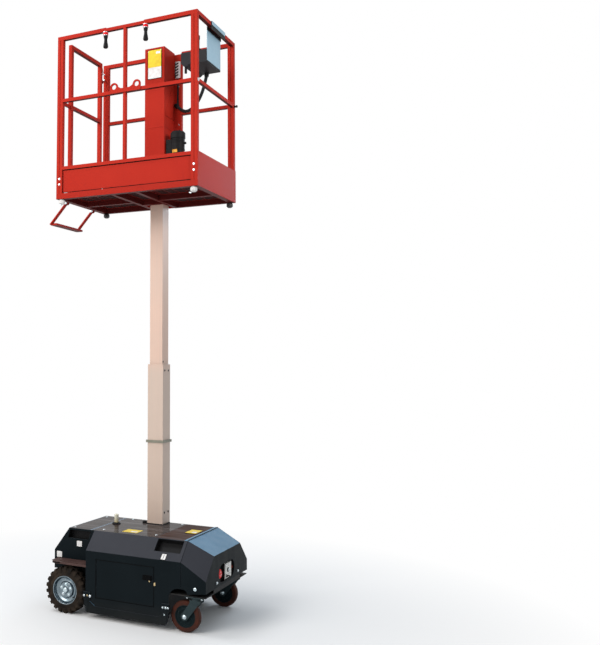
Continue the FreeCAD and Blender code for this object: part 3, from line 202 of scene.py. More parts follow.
hose_radius, hose_length = 0.012, 0.464
hose_points = [
    (0.454, 0.097, 3.766), (0.4384, 0.106, 3.72), (0.4106, 0.1219, 3.662), (0.369, 0.1457, 3.61),
    (0.3117, 0.1786, 3.576), (0.2475, 0.2154, 3.57), (0.1937, 0.2462, 3.596), (0.1486, 0.272, 3.636),
]
line = bpy.data.curves.new("control_hose", "CURVE")
line.dimensions = "3D"
line.resolution_u = 16
line.bevel_depth = hose_radius
line.bevel_resolution = 5
line.use_fill_caps = True
run = line.splines.new("NURBS")
run.points.add(len(hose_points) - 1)
for point, place in zip(run.points, hose_points):
    point.co = (*place, 1)
run.order_u = 3
run.use_endpoint_u = True
line.materials.append(hose_rubber().material)
hose = bpy.data.objects.new("control_hose", line)
scene.collection.objects.link(hose)
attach(hose, "basket")
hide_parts("control_cable")


# Chassis frame and drive units
# Welded steel plates and rails, sprayed black, with cast gear motors bolted to the brackets at the tail.
# The block of batteries stands on the floor plate beside the mast.
def coat(finish, *names):
    for name in names:
        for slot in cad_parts[name].material_slots:
            slot.material = finish.material


def black_paint():
    paint = Finish("black_paint", (0.012, 0.013, 0.014), 0.5, gloss=0.12)
    patches = paint.noise(9, 4)
    peel = paint.noise(260, 2)
    grime = paint.steps(patches, (0.45, 0), (0.75, 1))
    dirt = paint.mix(grime, (0.01, 0.011, 0.012), (0.035, 0.032, 0.029))
    roughness = 0.4 + patches * 0.3
    return paint.surface(dirt, roughness, peel, 0.0003, 0.002, edge_share=0.4, edge_colour=(0.09, 0.09, 0.095))


coat(black_paint(), "chassis_frame", "drive_units", "battery_block")


# Covers of the chassis
# Folded sheet steel in a dark graphite paint with a fine texture: side covers, doors, nose, tail and guards.
# They are screwed to the frame. Faces that look up are painted paler: pale dust with painted top light.
# On the nose's slope this is a painted blue reflection of the sky. The edges are painted lighter: rubbed
# paint with a painted highlight.
def graphite_paint():
    paint = Finish("graphite_paint", (0.008, 0.011, 0.013), 0.42, gloss=0.028)
    patches = paint.noise(3.5, 5)
    speckle = paint.noise(900, 2)
    scuffs = paint.noise(14, 6, (1, 1, 0.15))
    low = paint.steps(paint.along("Z"), (0.03, 1), (0.16, 0))
    # Faces that look up are painted paler: dust, and painted light from above.
    above = paint.steps(paint.facing("Z"), (0.2, 0), (0.62, 1))
    sideways = paint.facing("Y")
    forward = paint.steps(paint.facing("X"), (0.25, 0), (0.4, 1))
    ahead = forward * paint.steps(sideways * sideways, (0.05, 1), (0.15, 0))
    base = paint.mix(patches, (0.0045, 0.0072, 0.0088), (0.0085, 0.0125, 0.015))
    bottom_tone = paint.mix(low * patches * 0.6, base, (0.035, 0.032, 0.029))
    # The slope of the nose is painted blue: a painted reflection of the sky.
    slope = paint.mix(ahead, (0.044, 0.046, 0.055), (0.125, 0.24, 0.355))
    dust_and_painted_light = paint.mix(above * (0.8 + patches * 0.3), bottom_tone, slope)
    roughness = 0.34 + paint.steps(scuffs, (0.4, 0), (0.7, 1)) * 0.12 + low * 0.2
    # The lighter edge colour is rubbed paint with a painted highlight.
    return paint.surface(dust_and_painted_light, roughness, speckle, 0.0002, 0.0025, edge_share=0.4, edge_colour=(0.06, 0.075, 0.095))


cover_paint = graphite_paint()
coat(cover_paint, "side_covers", "nose_cover", "tail_cover", "service_door_right", "service_door_left",
     "pothole_guards")


def black_plastic():
    plastic = Finish("black_plastic", (0.009, 0.009, 0.01), 0.55, gloss=0.1)
    grain = plastic.noise(700, 3)
    patches = plastic.noise(12, 3)
    base = plastic.mix(patches * 0.6, (0.006, 0.006, 0.007), (0.018, 0.018, 0.018))
    roughness = 0.4 + grain * 0.25
    return plastic.surface(base, roughness, grain, 0.0003, 0.0015, edge_share=0.4, edge_colour=(0.05, 0.05, 0.052))


moulded_black = black_plastic()
coat(moulded_black, "hand_pockets", "ground_controls")


# Blank plates on the covers
# Thin plastic plates, white on a dark border, stuck beside the hand pockets and over the drive wheels. They
# are bare but for a dark line down the middle of the one at the shoulder.
def box(name):
    "Lowest corner, highest corner and middle of a node of the frame."
    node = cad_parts[name]
    sides = list(zip(*(node.matrix_world @ Vector(corner) for corner in node.bound_box)))
    low, high = Vector([min(side) for side in sides]), Vector([max(side) for side in sides])
    return low, high, (low + high) / 2


def skin(mesh, rings, tint=0):
    "Closed shell through rings of points, with a face across each end."
    rows = [[mesh.verts.new(point) for point in ring] for ring in rings]
    faces = [mesh.faces.new(rows[0][::-1]), mesh.faces.new(rows[-1])]
    for low, high in zip(rows, rows[1:]):
        for k in range(len(low)):
            faces.append(mesh.faces.new((low[k - 1], low[k], high[k], high[k - 1])))
    for face in faces:
        face.material_index = tint


# Plates and screw heads start this far inside the face that they stand on.
foot = -0.0004


def slab(mesh, middle, across, up, width, height, thick, corner, tint=0):
    "Plate on a flat face, its sides along two directions, with rounded corners."
    across, up, middle = Vector(across).normalized(), Vector(up).normalized(), Vector(middle)
    out = across.cross(up)
    outline = []
    for a, b, start in ((1, 1, 0), (-1, 1, 90), (-1, -1, 180), (1, -1, 270)):
        for step in (0, 30, 60, 90) if corner else (0,):
            angle = math.radians(start + step)
            outline.append((a * (width / 2 - corner) + corner * math.cos(angle),
                            b * (height / 2 - corner) + corner * math.sin(angle)))
    rings = [[middle + across * a + up * b + out * lift for a, b in outline] for lift in (foot, thick)]
    skin(mesh, rings, tint)


def piece(name, mesh, finishes, body, soft_edge=0.0):
    "Object from a finished mesh, smooth except at its corners, that rides on a body."
    for face in mesh.faces:
        face.smooth = True
    data = bpy.data.meshes.new(name)
    mesh.to_mesh(data)
    mesh.free()
    data.set_sharp_from_angle(angle=math.radians(35))
    for finish in finishes:
        data.materials.append(finish.material)
    made = bpy.data.objects.new(name, data)
    scene.collection.objects.link(made)
    if soft_edge:
        bevel = made.modifiers.new("soft_edge", "BEVEL")
        bevel.width = soft_edge
        bevel.segments = 2
        bevel.limit_method = "ANGLE"
    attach(made, body)


def printed_film(name, first, second, gloss=0.3):
    film = Finish(name, first, 0.35, gloss=gloss)
    stain = film.noise(45, 4)
    grain = film.noise(600, 2)
    colour = film.mix(film.steps(stain, (0.35, 0), (0.7, 1)), first, second)
    return film.surface(colour, 0.28 + stain * 0.22, grain, 0.0001, 0.0006)


white_film = printed_film("white_film", (0.78, 0.77, 0.76), (0.62, 0.6, 0.58))
dark_film = printed_film("dark_film", (0.0015, 0.0018, 0.002), (0.004, 0.0045, 0.005), 0.03)
plate_border, line_width, line_short = 0.004, 0.003, 0.008
tail_side_y = box("tail_cover")[1].y
# middle, across, up, width, height
tags = [
    ((-0.353, -tail_side_y, 0.454), (1, 0, 0), (0, 0, 1), 0.048, 0.046),
    ((-0.516, -tail_side_y, 0.366), (1, 0, 0), (0, 0, 1), 0.05, 0.048),
    ((0.343, -0.3619, 0.4608), (1, 0, 0), (0, 0.7133, 0.7009), 0.04, 0.05),
]
mesh = bmesh.new()
for side in (1, -1):
    for (x, y, z), across, up, width, height in tags:
        middle, along, upward = (x, side * y, z), (side * across[0], 0, 0), (0, side * up[1], up[2])
        inner_width, inner_height = width - 2 * plate_border, height - 2 * plate_border
        slab(mesh, middle, along, upward, width, height, 0.0006, 0.004)
        slab(mesh, middle, along, upward, inner_width, inner_height, 0.0012, 0.003, 1)
    # the line is on the last one
    slab(mesh, middle, along, upward, line_width, inner_height - line_short, 0.0016, 0)
piece("cover_tags", mesh, [dark_film, white_film], "chassis")


# Screws and bolts of the covers
# Zinc-plated hexagon screws with round washers. The larger ones hold the nose to the frame, and the small
# ones go through the ears of the pothole guards. One of those on each side is yellow zinc.
def zinc_plate():
    metal = Finish("zinc_plate", (0.62, 0.65, 0.68), 0.25, 1.0)
    cloud = metal.noise(30, 4)
    grain = metal.noise(300, 3)
    tint = metal.noise(8, 2)
    base = metal.mix(cloud, (0.42, 0.5, 0.54), (0.78, 0.8, 0.82))
    blue = metal.steps(tint, (0.45, 0), (0.65, 1))
    colour = metal.mix(blue * 0.4, base, (0.45, 0.68, 0.74))
    return metal.surface(colour, 0.14 + cloud * 0.2 + grain * 0.06, grain, 0.0002, 0.0015)


def lathe(mesh, profile, place, facing, sides, tint=0):
    "Turned shape from (radius, along) steps, on a line through a place, in any direction."
    turn = Matrix.Translation(place) @ Vector(facing).to_track_quat("Z", "Y").to_matrix().to_4x4()
    corners = [2 * math.pi * k / sides for k in range(sides)]
    skin(mesh, [[turn @ Vector((radius * math.cos(a), radius * math.sin(a), along)) for a in corners]
                for radius, along in profile], tint)


def bolt(mesh, place, facing, size, tint=0):
    "Round washer and six-sided head with its corners cut back, sized by the head's radius."
    washer = [(size * 1.35, foot), (size * 1.35, size * 0.2), (size * 1.2, size * 0.26)]
    head = [(size, size * 0.2), (size, size * 0.72), (size * 0.84, size * 0.88)]
    lathe(mesh, washer, place, facing, 20, tint)
    lathe(mesh, head, place, facing, 6, tint)


def yellow_zinc():
    metal = Finish("yellow_zinc", (0.6, 0.47, 0.24), 0.3, 1.0)
    cloud = metal.noise(90, 4)
    colour = metal.mix(cloud, (0.5, 0.36, 0.18), (0.72, 0.6, 0.36))
    return metal.surface(colour, 0.22 + cloud * 0.2, cloud, 0.0002, 0.001)


bright_zinc = zinc_plate()
brass_zinc = yellow_zinc()
cover_y = box("side_covers")[1].y
guard_y = box("pothole_guards")[1].y
nose_x = box("nose_cover")[1].x
# x, z, size, tint
guard_pins = [
    (-0.2395, 0.146, 0.0055, 0), (-0.2147, 0.147, 0.0035, 1), (-0.1935, 0.146, 0.0065, 0),
    (0.3482, 0.146, 0.005, 0), (0.369, 0.147, 0.006, 0), (0.386, 0.147, 0.0045, 0),
    (0.3598, 0.101, 0.0035, 0),
]
side_bolt_x, side_bolt_z, nose_bolt_y, nose_bolt_z = 0.571, 0.286, 0.192, 0.294
mesh = bmesh.new()
for side in (-1, 1):
    bolt(mesh, (side_bolt_x, side * cover_y, side_bolt_z), (0, side, 0), 0.0085)
    bolt(mesh, (nose_x, side * nose_bolt_y, nose_bolt_z), (1, 0, 0), 0.007)
    for x, z, size, tint in guard_pins:
        bolt(mesh, (x, side * guard_y, z), (0, side, 0), size, tint)
piece("cover_bolts", mesh, [bright_zinc, brass_zinc], "chassis")


# Door seals
# Black rubber strips around the door openings, 5 mm wide and pressed onto the cover's edge. They show as a
# dark line beside the doors.
def border(mesh, middle, across, up, width, height, strip, thick):
    "Four flat strips inside a field's edges."
    across, up = Vector(across), Vector(up)
    for a, b in ((0, 1), (0, -1), (1, 0), (-1, 0)):
        place = Vector(middle) + (across * a * (width - strip) + up * b * (height - strip)) / 2
        slab(mesh, place, across, up, strip if a else width, strip if b else height, thick, 0)


door_low, door_high, door_middle = box("service_door_right")
seal = 0.005
width, height = door_high.x - door_low.x + 2 * seal, door_high.z - door_low.z + 2 * seal
mesh = bmesh.new()
for side in (-1, 1):
    middle = (door_middle.x, side * cover_y, door_middle.z)
    border(mesh, middle, (-side, 0, 0), (0, 0, 1), width, height, seal, 0.0007)
piece("door_seals", mesh, [dark_film], "chassis")


# Door latches
# A black moulded dish in the door's edge with a paddle and a catch in it, and a brass-coloured key barrel
# below. The keeper is a small brass-coloured plate with a stud, screwed to the cover.
latch_x, latch_z, barrel_z, keeper_z = door_high.x - 0.044, 0.318, 0.2975, 0.283
dish_y, barrel_y = cover_y + 0.0012, cover_y + 0.0006
barrel = [(0.0048, 0), (0.0048, 0.0026), (0.004, 0.0032)]
stud = [(0.0032, 0.001), (0.0032, 0.0034), (0.002, 0.004)]
finishes = [dark_film, brass_zinc]
for name, side in (("right", -1), ("left", 1)):
    mesh = bmesh.new()
    across, up = (-side, 0, 0), (0, 0, 1)
    slab(mesh, (latch_x, side * cover_y, latch_z), across, up, 0.072, 0.034, 0.0012, 0.006)
    slab(mesh, (latch_x - 0.007, side * dish_y, latch_z), across, up, 0.04, 0.02, 0.0022, 0.004)
    slab(mesh, (latch_x + 0.018, side * dish_y, latch_z), across, up, 0.012, 0.024, 0.003, 0.003)
    slab(mesh, (latch_x + 0.016, side * cover_y, barrel_z), across, up, 0.018, 0.016, 0.0008, 0.005)
    lathe(mesh, barrel, (latch_x + 0.016, side * barrel_y, barrel_z), (0, side, 0), 18, 1)
    piece(f"door_latch_{name}", mesh, finishes, f"service_door_{name}", soft_edge=0.0006)
mesh = bmesh.new()
for side in (-1, 1):
    keeper = (door_high.x + 0.009, side * cover_y, keeper_z)
    slab(mesh, keeper, (-side, 0, 0), (0, 0, 1), 0.012, 0.018, 0.002, 0.002)
    lathe(mesh, stud, keeper, (0, side, 0), 16)
piece("latch_keepers", mesh, [brass_zinc], "chassis", soft_edge=0.0004)


# Deck
# Steel plates in a dark brown gloss paint, screwed down with seams between them. Boots have drawn streaks on
# them, and the folded edges along the seams are rubbed to a steel blue.
def deck_paint():
    paint = Finish("deck_paint", (0.06, 0.045, 0.04), 0.2, gloss=0.015)
    patches = paint.noise(4, 5)
    streaks = paint.noise(22, 5, (0.12, 1, 1))
    scratches = paint.noise(60, 4, (1, 0.06, 1))
    soft = paint.soft_edges(0.002)
    edge_mask = paint.edge_mask(soft)
    x = paint.along("X")
    flange = paint.steps(x, (0.443, 0), (0.4445, 1))
    front = paint.steps(x, (0.23, 0), (0.235, 1))
    tail_seam = paint.steps(x + 0.5, (0.229, 0), (0.231, 1), (0.242, 1), (0.244, 0))
    rubbed = paint.steps(scratches, (0.6, 0), (0.72, 1))
    dark = paint.mix(patches, (0.012, 0.009, 0.009), (0.06, 0.045, 0.042))
    brown = paint.mix(patches, (0.022, 0.011, 0.009), (0.09, 0.046, 0.034))
    base = paint.mix(front, dark, brown)
    drawn = paint.mix(paint.steps(streaks, (0.46, 0), (0.68, 1)) * 0.45, base, (0.17, 0.15, 0.15))
    blue = paint.mix(flange, drawn, (0.17, 0.31, 0.44))
    seam = paint.mix(tail_seam, blue, (0.16, 0.22, 0.29))
    paint.feed("Base Color", paint.mix(edge_mask * 0.5 + rubbed * 0.1, seam, (0.2, 0.24, 0.28)))
    paint.feed("Roughness", 0.05 + patches * 0.1 + rubbed * 0.15 + front * 0.38)
    paint.bump(patches, 0.0006, Normal=soft)
    return paint


coat(deck_paint(), "deck_cover")
deck_z = box("side_covers")[1].z
front_lift = 0.003
screw_head = [(0.0085, foot), (0.0085, 0.0008), (0.0072, 0.0024), (0.0042, 0.0031)]
screw_places = [(-0.192, -0.203), (0.206, -0.193), (-0.192, 0.236), (0.206, 0.236), (-0.41, -0.225),
                (-0.41, 0.225)]
mesh = bmesh.new()
for x, y in screw_places:
    lathe(mesh, screw_head, (x, y, deck_z), (0, 0, 1), 20)
    slab(mesh, (x, y, deck_z + 0.003), (1, 1, 0), (-1, 1, 0), 0.0072, 0.0016, 0.0003, 0, 1)
piece("deck_screws", mesh, [bright_zinc, dark_film], "chassis")

yellow_film = printed_film("yellow_film", (0.8, 0.58, 0.02), (0.68, 0.48, 0.02), 0.15)
# x and y of the middle, length, width, and the height of the deck there
deck_plates = [((0.008, -0.155), 0.12, 0.104, deck_z), ((0.388, 0.025), 0.084, 0.128, deck_z + front_lift)]
across, up, edge = (1, 0, 0), (0, 1, 0), 0.005
mesh = bmesh.new()
for (x, y), length, width, z in deck_plates:
    field = (x + length * 0.18, y - width * 0.18, z)
    slab(mesh, (x, y, z), across, up, length, width, 0.0005, 0.005)
    slab(mesh, (x, y, z), across, up, length - edge, width - edge, 0.001, 0.004, 1)
    slab(mesh, field, across, up, length * 0.4, width * 0.3, 0.0014, 0.003, 2)
piece("deck_plates", mesh, [dark_film, yellow_film, white_film], "chassis")


# Deck seals and beacon
# Black strips around the mast are painted shade in the gap between the deck and the mast, and a black
# rubber strip closes the gap between the deck and the nose. A cable bushing stands beside the mast. The
# beacon is a clouded, pale amber plastic lamp; the black ring at its foot is painted shade in the hole.
def amber_plastic():
    lamp = Finish("amber_plastic", (0.62, 0.55, 0.36), 0.3)
    cloud = lamp.noise(40, 3)
    ribs = lamp.noise(1, 1, (1, 1, 120))
    glow = lamp.steps(lamp.along("Z"), (0.57, 0), (0.6, 1))
    base = lamp.mix(glow, (0.5, 0.42, 0.24), (0.74, 0.72, 0.6))
    colour = lamp.mix(cloud * 0.4, base, (0.58, 0.5, 0.3))
    return lamp.surface(colour, 0.2 + cloud * 0.2, ribs, 0.0004, 0.0015)


coat(amber_plastic(), "deck_beacon")
mesh = bmesh.new()
beacon_middle = box("deck_beacon")[2]
# Black ring around the beacon's foot: painted shade in the hole around it.
beacon_shade_ring = [(0.031, foot), (0.031, 0.004), (0.026, 0.009), (0.0212, 0.011)]
lathe(mesh, beacon_shade_ring, (beacon_middle.x, beacon_middle.y, deck_z), (0, 0, 1), 40)
collar_low, collar_high = box("mast_collar")[:2]
collar_thick, shade_strip_width, deck_high = 0.0095, 0.008, box("deck_cover")[1]
mast_low_x, mast_high_x = collar_low.x + collar_thick, collar_high.x - collar_thick
mast_low_y = collar_low.y + collar_thick
shade_strip_low_x, shade_strip_high_x = mast_low_x - shade_strip_width, mast_high_x + shade_strip_width
# Black strips around the mast: painted shade in the gap between the deck and the mast.
for x0, x1, y0, y1 in ((shade_strip_low_x, shade_strip_high_x, mast_low_y - shade_strip_width, mast_low_y),
                       (shade_strip_low_x, mast_low_x, mast_low_y, deck_high.y),
                       (mast_high_x, shade_strip_high_x, mast_low_y, deck_high.y)):
    slab(mesh, ((x0 + x1) / 2, (y0 + y1) / 2, deck_z), (1, 0, 0), (0, 1, 0), x1 - x0, y1 - y0, 0.005, 0)
nose_seal, length = (deck_high.x - 0.001, 0, deck_z + front_lift), 2 * deck_high.y - 0.002
slab(mesh, nose_seal, (1, 0, 0), (0, 1, 0), 0.007, length, 0.0015, 0)
bushing = [(0.016, foot), (0.016, 0.01), (0.012, 0.014), (0.007, 0.0145)]
cable_end = [(0.0065, 0.012), (0.0065, 0.015)]
bushing_x, bushing_y = -0.06, 0.166
for profile, sides in ((bushing, 28), (cable_end, 20)):
    lathe(mesh, profile, (bushing_x, bushing_y, deck_z), (0, 0, 1), sides)
piece("deck_seals_and_shade_strips", mesh, [moulded_black], "chassis", soft_edge=0.0008)


# Fender shelves
# Narrow folded shelves over the drive wheels, in a red-brown primer worn by boots, with a drain slot near
# the tail. A short dark sheet under each shelf fills the corner between the tyre and the side cover, as
# painted shade where that corner lies in shadow.
def shelf_paint():
    paint = Finish("shelf_paint", (0.05, 0.028, 0.026), 0.5, gloss=0.2)
    patches = paint.noise(14, 5)
    grit = paint.noise(320, 3)
    base = paint.mix(patches, (0.04, 0.02, 0.019), (0.085, 0.045, 0.038))
    return paint.surface(base, 0.42 + grit * 0.25, grit, 0.0004, 0.002, edge_share=0.6, edge_colour=(0.17, 0.12, 0.11))


coat(shelf_paint(), "fender_shelves")
shelf_low_z, shade_flap, shade_flap_x, shade_flap_y = box("fender_shelves")[0].z, 0.08, -0.275, 0.29
slot_x, slot_z = -0.47, shelf_low_z + 0.007
mesh = bmesh.new()
for side in (-1, 1):
    shade_flap_middle = (shade_flap_x, side * shade_flap_y, shelf_low_z - shade_flap / 2)
    slab(mesh, (slot_x, side * cover_y, slot_z), (-side, 0, 0), (0, 0, 1), 0.062, 0.0085, 0.0006, 0.004)
    # Dark sheet in the corner by the tyre: painted shade.
    slab(mesh, shade_flap_middle, (-side, 0, 0), (0, 0, 1), shade_flap, shade_flap, 0.003, 0.006)
piece("shelf_slots_and_shade_flaps", mesh, [dark_film], "chassis")


# Ground controls
# A white plate with a black rim on the pedestal in the nose, with a key switch, a toggle in a rubber boot and
# three blank fields. The red stop button stands on one side of it, with three white marks, and the lamp on
# the other.
def white_plastic():
    plastic = Finish("white_plastic", (0.72, 0.71, 0.68), 0.35)
    stain = plastic.noise(30, 4)
    colour = plastic.mix(stain, (0.78, 0.77, 0.74), (0.6, 0.58, 0.54))
    return plastic.surface(colour, 0.3 + stain * 0.25, stain, 0.0003, 0.0015)


def red_plastic():
    plastic = Finish("red_plastic", (0.6, 0.01, 0.012), 0.3, gloss=0.15)
    stain = plastic.noise(60, 4)
    lamp = plastic.steps(plastic.along("Y"), (0.02, 0), (0.06, 1))
    base = plastic.mix(lamp, (0.7, 0.008, 0.012), (0.32, 0.035, 0.008))
    colour = plastic.mix(stain * 0.4, base, (0.42, 0.01, 0.012))
    return plastic.surface(colour, 0.2 + stain * 0.2, stain, 0.0002, 0.0015)


coat(white_plastic(), "nose_plate")
signal_red = red_plastic()
coat(signal_red, "stop_button")
plate_low, plate_high, plate_middle = box("nose_plate")
plate_x, rim = plate_high.x, 0.005
width, height = plate_high.y - plate_low.y, plate_high.z - plate_low.z
across, up, ahead = (0, 1, 0), (0, 0, 1), (1, 0, 0)
mesh = bmesh.new()
border(mesh, (plate_x, plate_middle.y, plate_middle.z), across, up, width, height, rim, 0.001)
key_y, key_z, key_rise = 0.006, 0.34, 0.0105
key_base = [(0.015, foot), (0.015, 0.003), (0.0125, 0.0045)]
key_barrel = [(0.0095, 0.003), (0.0095, key_rise - 0.001), (0.008, key_rise)]
lathe(mesh, key_base, (plate_x, key_y, key_z), ahead, 28)
lathe(mesh, key_barrel, (plate_x, key_y, key_z), ahead, 28, 1)
slab(mesh, (plate_x + key_rise, key_y, key_z), across, up, 0.0022, 0.009, 0.0004, 0)
toggle = [(0.01, foot), (0.01, 0.003), (0.007, 0.007), (0.0035, 0.011), (0.0045, 0.02),
          (0.004, 0.0215)]
toggle_y, toggle_z = -0.018, 0.304
lathe(mesh, toggle, (plate_x, toggle_y, toggle_z), (1, 0, 0.12), 24)
edge = 0.002
for y, z, width, height in ((-0.025, 0.372, 0.034, 0.013), (0.033, 0.372, 0.046, 0.013),
                            (0.033, 0.303, 0.03, 0.02)):
    slab(mesh, (plate_x, y, z), across, up, width, height, 0.0008, 0.002)
    slab(mesh, (plate_x, y, z), across, up, width - edge, height - edge, 0.0012, 0.002, 2)
piece("ground_switches", mesh, [moulded_black, bright_zinc, white_film], "chassis")
button_low, button_high = box("stop_button")[:2]
lamp_ring = [(0.0255, foot), (0.0255, 0.002), (0.0235, 0.003)]
button_y, lamp_y, mark_ring = -0.124, 0.101, 0.013
button_face = Vector((button_high.x, button_y, plate_middle.z))
mesh = bmesh.new()
lathe(mesh, lamp_ring, (button_low.x, lamp_y, plate_middle.z), ahead, 32)
for k in range(3):
    angle = math.radians(90 + 120 * k)
    out = Vector((0, math.cos(angle), math.sin(angle)))
    along = (0, -math.sin(angle), math.cos(angle))
    slab(mesh, button_face + out * mark_ring, along, -out, 0.009, 0.0035, 0.0004, 0.0015, 1)
piece("stop_marks", mesh, [moulded_black, white_film], "chassis")


# Drive tyres
# Black rubber with blocky shoulder lugs, moulded in one piece and pressed onto the rim. Dry ground has left
# brown dust on it.
def tyre_rubber():
    rubber = Finish("tyre_rubber", (0.02, 0.016, 0.013), 0.8, gloss=0.08)
    grain = rubber.noise(500, 4)
    dust = rubber.noise(18, 5)
    dusted = rubber.steps(dust, (0.35, 0), (0.7, 1))
    dry = rubber.mix(dusted, (0.01, 0.0085, 0.0075), (0.034, 0.024, 0.017))
    roughness, lumps = 0.66 + grain * 0.25, grain + dust * 0.5
    return rubber.surface(dry, roughness, lumps, 0.0008, 0.003, edge_share=0.3, edge_colour=(0.06, 0.045, 0.035))


coat(tyre_rubber(), "drive_tyre_right", "drive_tyre_left")


# Drive rims
# Pressed steel rims, zinc-plated and slightly clouded, held on the hub by five nuts around a cap. The valve
# stands in the rim's slope.
def rim_zinc():
    metal = Finish("rim_zinc", (0.35, 0.42, 0.46), 0.22, 1.0)
    cloud = metal.noise(22, 4)
    grain = metal.noise(300, 3)
    out = metal.facing("Y") * metal.facing("Y")
    flat = metal.steps(out, (0.5, 0), (0.95, 1))
    dish = metal.mix(flat, (0.022, 0.065, 0.095), (0.09, 0.14, 0.17))
    base = metal.mix(cloud * 0.7, dish, (0.4, 0.45, 0.48))
    return metal.surface(base, 0.16 + cloud * 0.2, grain, 0.0002, 0.003, edge_share=0.8, edge_colour=(0.75, 0.8, 0.84))


coat(rim_zinc(), "drive_rim_right", "drive_rim_left")
rim_high, hub = box("drive_rim_left")[1:]
nut_y, cap_y, valve_y = rim_high.y - 0.016, rim_high.y - 0.0055, rim_high.y - 0.027
nut_count, nut_ring, nut_size = 5, 0.037, 0.008
stud_end = [(0.004, 0.004), (0.004, 0.0095), (0.003, 0.0105)]
hub_cap = [(0.0175, 0), (0.0175, 0.003), (0.014, 0.0045)]
valve = [(0.005, 0), (0.0042, 0.008), (0.0032, 0.01), (0.0032, 0.018), (0.0022, 0.019)]
for name, side in (("right", -1), ("left", 1)):
    mesh = bmesh.new()
    for k in range(nut_count):
        angle = math.radians(90 + 360 * k / nut_count)
        x, z = hub.x + nut_ring * math.cos(angle), hub.z + nut_ring * math.sin(angle)
        bolt(mesh, (x, side * nut_y, z), (0, side, 0), nut_size)
        lathe(mesh, stud_end, (x, side * nut_y, z), (0, side, 0), 12)
    lathe(mesh, hub_cap, (hub.x, side * cap_y, hub.z), (0, side, 0), 6)
    piece(f"wheel_nuts_{name}", mesh, [bright_zinc], f"drive_wheel_{name}")
    mesh = bmesh.new()
    lathe(mesh, valve, (hub.x + 0.064, side * valve_y, hub.z - 0.046), (-0.35, side, 0.25), 14)
    piece(f"valve_{name}", mesh, [moulded_black], f"drive_wheel_{name}")


# Castors
# Steel forks in a dark grey-green zinc finish, each on a plate held by four bolts. The wheel is a red-brown
# polyurethane tread moulded on a cast hub, and its axle is a bolt with a lock nut.
def fork_steel():
    metal = Finish("fork_steel", (0.02, 0.035, 0.04), 0.45, 0.2, gloss=0.2)
    cloud = metal.noise(25, 4)
    base = metal.mix(cloud, (0.01, 0.022, 0.025), (0.028, 0.045, 0.05))
    roughness = 0.38 + cloud * 0.25
    return metal.surface(base, roughness, cloud, 0.0003, 0.0015, edge_share=0.6, edge_colour=(0.16, 0.19, 0.2))


def tread_plastic():
    tread = Finish("castor_tread", (0.06, 0.022, 0.014), 0.5, gloss=0.1)
    dust = tread.noise(35, 5)
    dusted = tread.steps(dust, (0.35, 0), (0.7, 1))
    base = tread.mix(dusted, (0.062, 0.017, 0.01), (0.036, 0.016, 0.012))
    return tread.surface(base, 0.4 + dust * 0.35, dust, 0.0005, 0.002, edge_share=0.35, edge_colour=(0.1, 0.04, 0.022))


def hub_casting():
    hub = Finish("castor_hub", (0.012, 0.02, 0.024), 0.45, gloss=0.04)
    grain = hub.noise(220, 4)
    cloud = hub.noise(20, 3)
    base = hub.mix(cloud, (0.004, 0.009, 0.01), (0.011, 0.019, 0.022))
    roughness = 0.35 + grain * 0.3
    return hub.surface(base, roughness, grain, 0.0004, 0.0015, edge_share=0.6, edge_colour=(0.045, 0.085, 0.095))


coat(fork_steel(), "castor_mounts", "castor_fork_right", "castor_fork_left")
coat(tread_plastic(), "castor_tyre_right", "castor_tyre_left")
coat(hub_casting(), "castor_hub_right", "castor_hub_left")
mount_low, mount_high = box("castor_mounts")[:2]
bolt_inset, mount_thick = 0.012, 0.005
mesh = bmesh.new()
for side in (-1, 1):
    for x in (mount_low.x + bolt_inset, mount_high.x - bolt_inset):
        for y in (mount_high.y - 0.087, mount_high.y - 0.01):
            bolt(mesh, (x, side * y, mount_high.z - mount_thick), (0, 0, -1), 0.0075)
piece("castor_plate_bolts", mesh, [bright_zinc], "chassis")
axle = box("castor_tyre_left")[2]
fork_low, fork_high = box("castor_fork_left")[:2]
outer_y, inner_y = fork_high.y - 0.007, fork_low.y + 0.007
lock_nut = [(0.007, 0.006), (0.007, 0.0115), (0.0058, 0.0125)]
for name, side in (("right", -1), ("left", 1)):
    mesh = bmesh.new()
    bolt(mesh, (axle.x, side * outer_y, axle.z), (0, side, 0), 0.0105)
    lathe(mesh, lock_nut, (axle.x, side * outer_y, axle.z), (0, side, 0), 20)
    bolt(mesh, (axle.x, side * inner_y, axle.z), (0, -side, 0), 0.0105)
    piece(f"castor_axle_nuts_{name}", mesh, [bright_zinc], f"castor_fork_{name}")


# Mast
# Three steel box sections in a pale beige paint, drawn with faint lines along their length by the slide
# pads. The outer section has a grey clamped collar and flat screws for its pads, and the middle section
# carries a flat black stop screw.
def mast_paint():
    paint = Finish("mast_paint", (0.62, 0.5, 0.42), 0.42, gloss=0.35)
    patches = paint.noise(2.5, 4)
    lines = paint.noise(120, 3, (1, 1, 0.004))
    peel = paint.noise(350, 2)
    upper = paint.steps(paint.along("Z") / 4, (0.41, 0), (0.44, 1))
    base = paint.mix(upper, (0.6, 0.462, 0.382), (0.7, 0.47, 0.37))
    shaded = paint.mix(patches * 0.5, base, (0.56, 0.45, 0.38))
    rubbed = paint.steps(lines, (0.5, 0), (0.75, 1))
    drawn = paint.mix(rubbed * 0.25, shaded, (0.45, 0.4, 0.36))
    roughness = 0.34 + patches * 0.15
    return paint.surface(drawn, roughness, peel, 0.0002, 0.003, edge_share=0.3, edge_colour=(0.75, 0.68, 0.6))


def collar_paint():
    paint = Finish("collar_paint", (0.16, 0.17, 0.13), 0.45, 0.2)
    patches = paint.noise(40, 4)
    base = paint.mix(patches, (0.15, 0.15, 0.115), (0.25, 0.24, 0.19))
    roughness = 0.36 + patches * 0.2
    return paint.surface(base, roughness, patches, 0.0003, 0.0015, edge_share=0.5, edge_colour=(0.42, 0.42, 0.36))


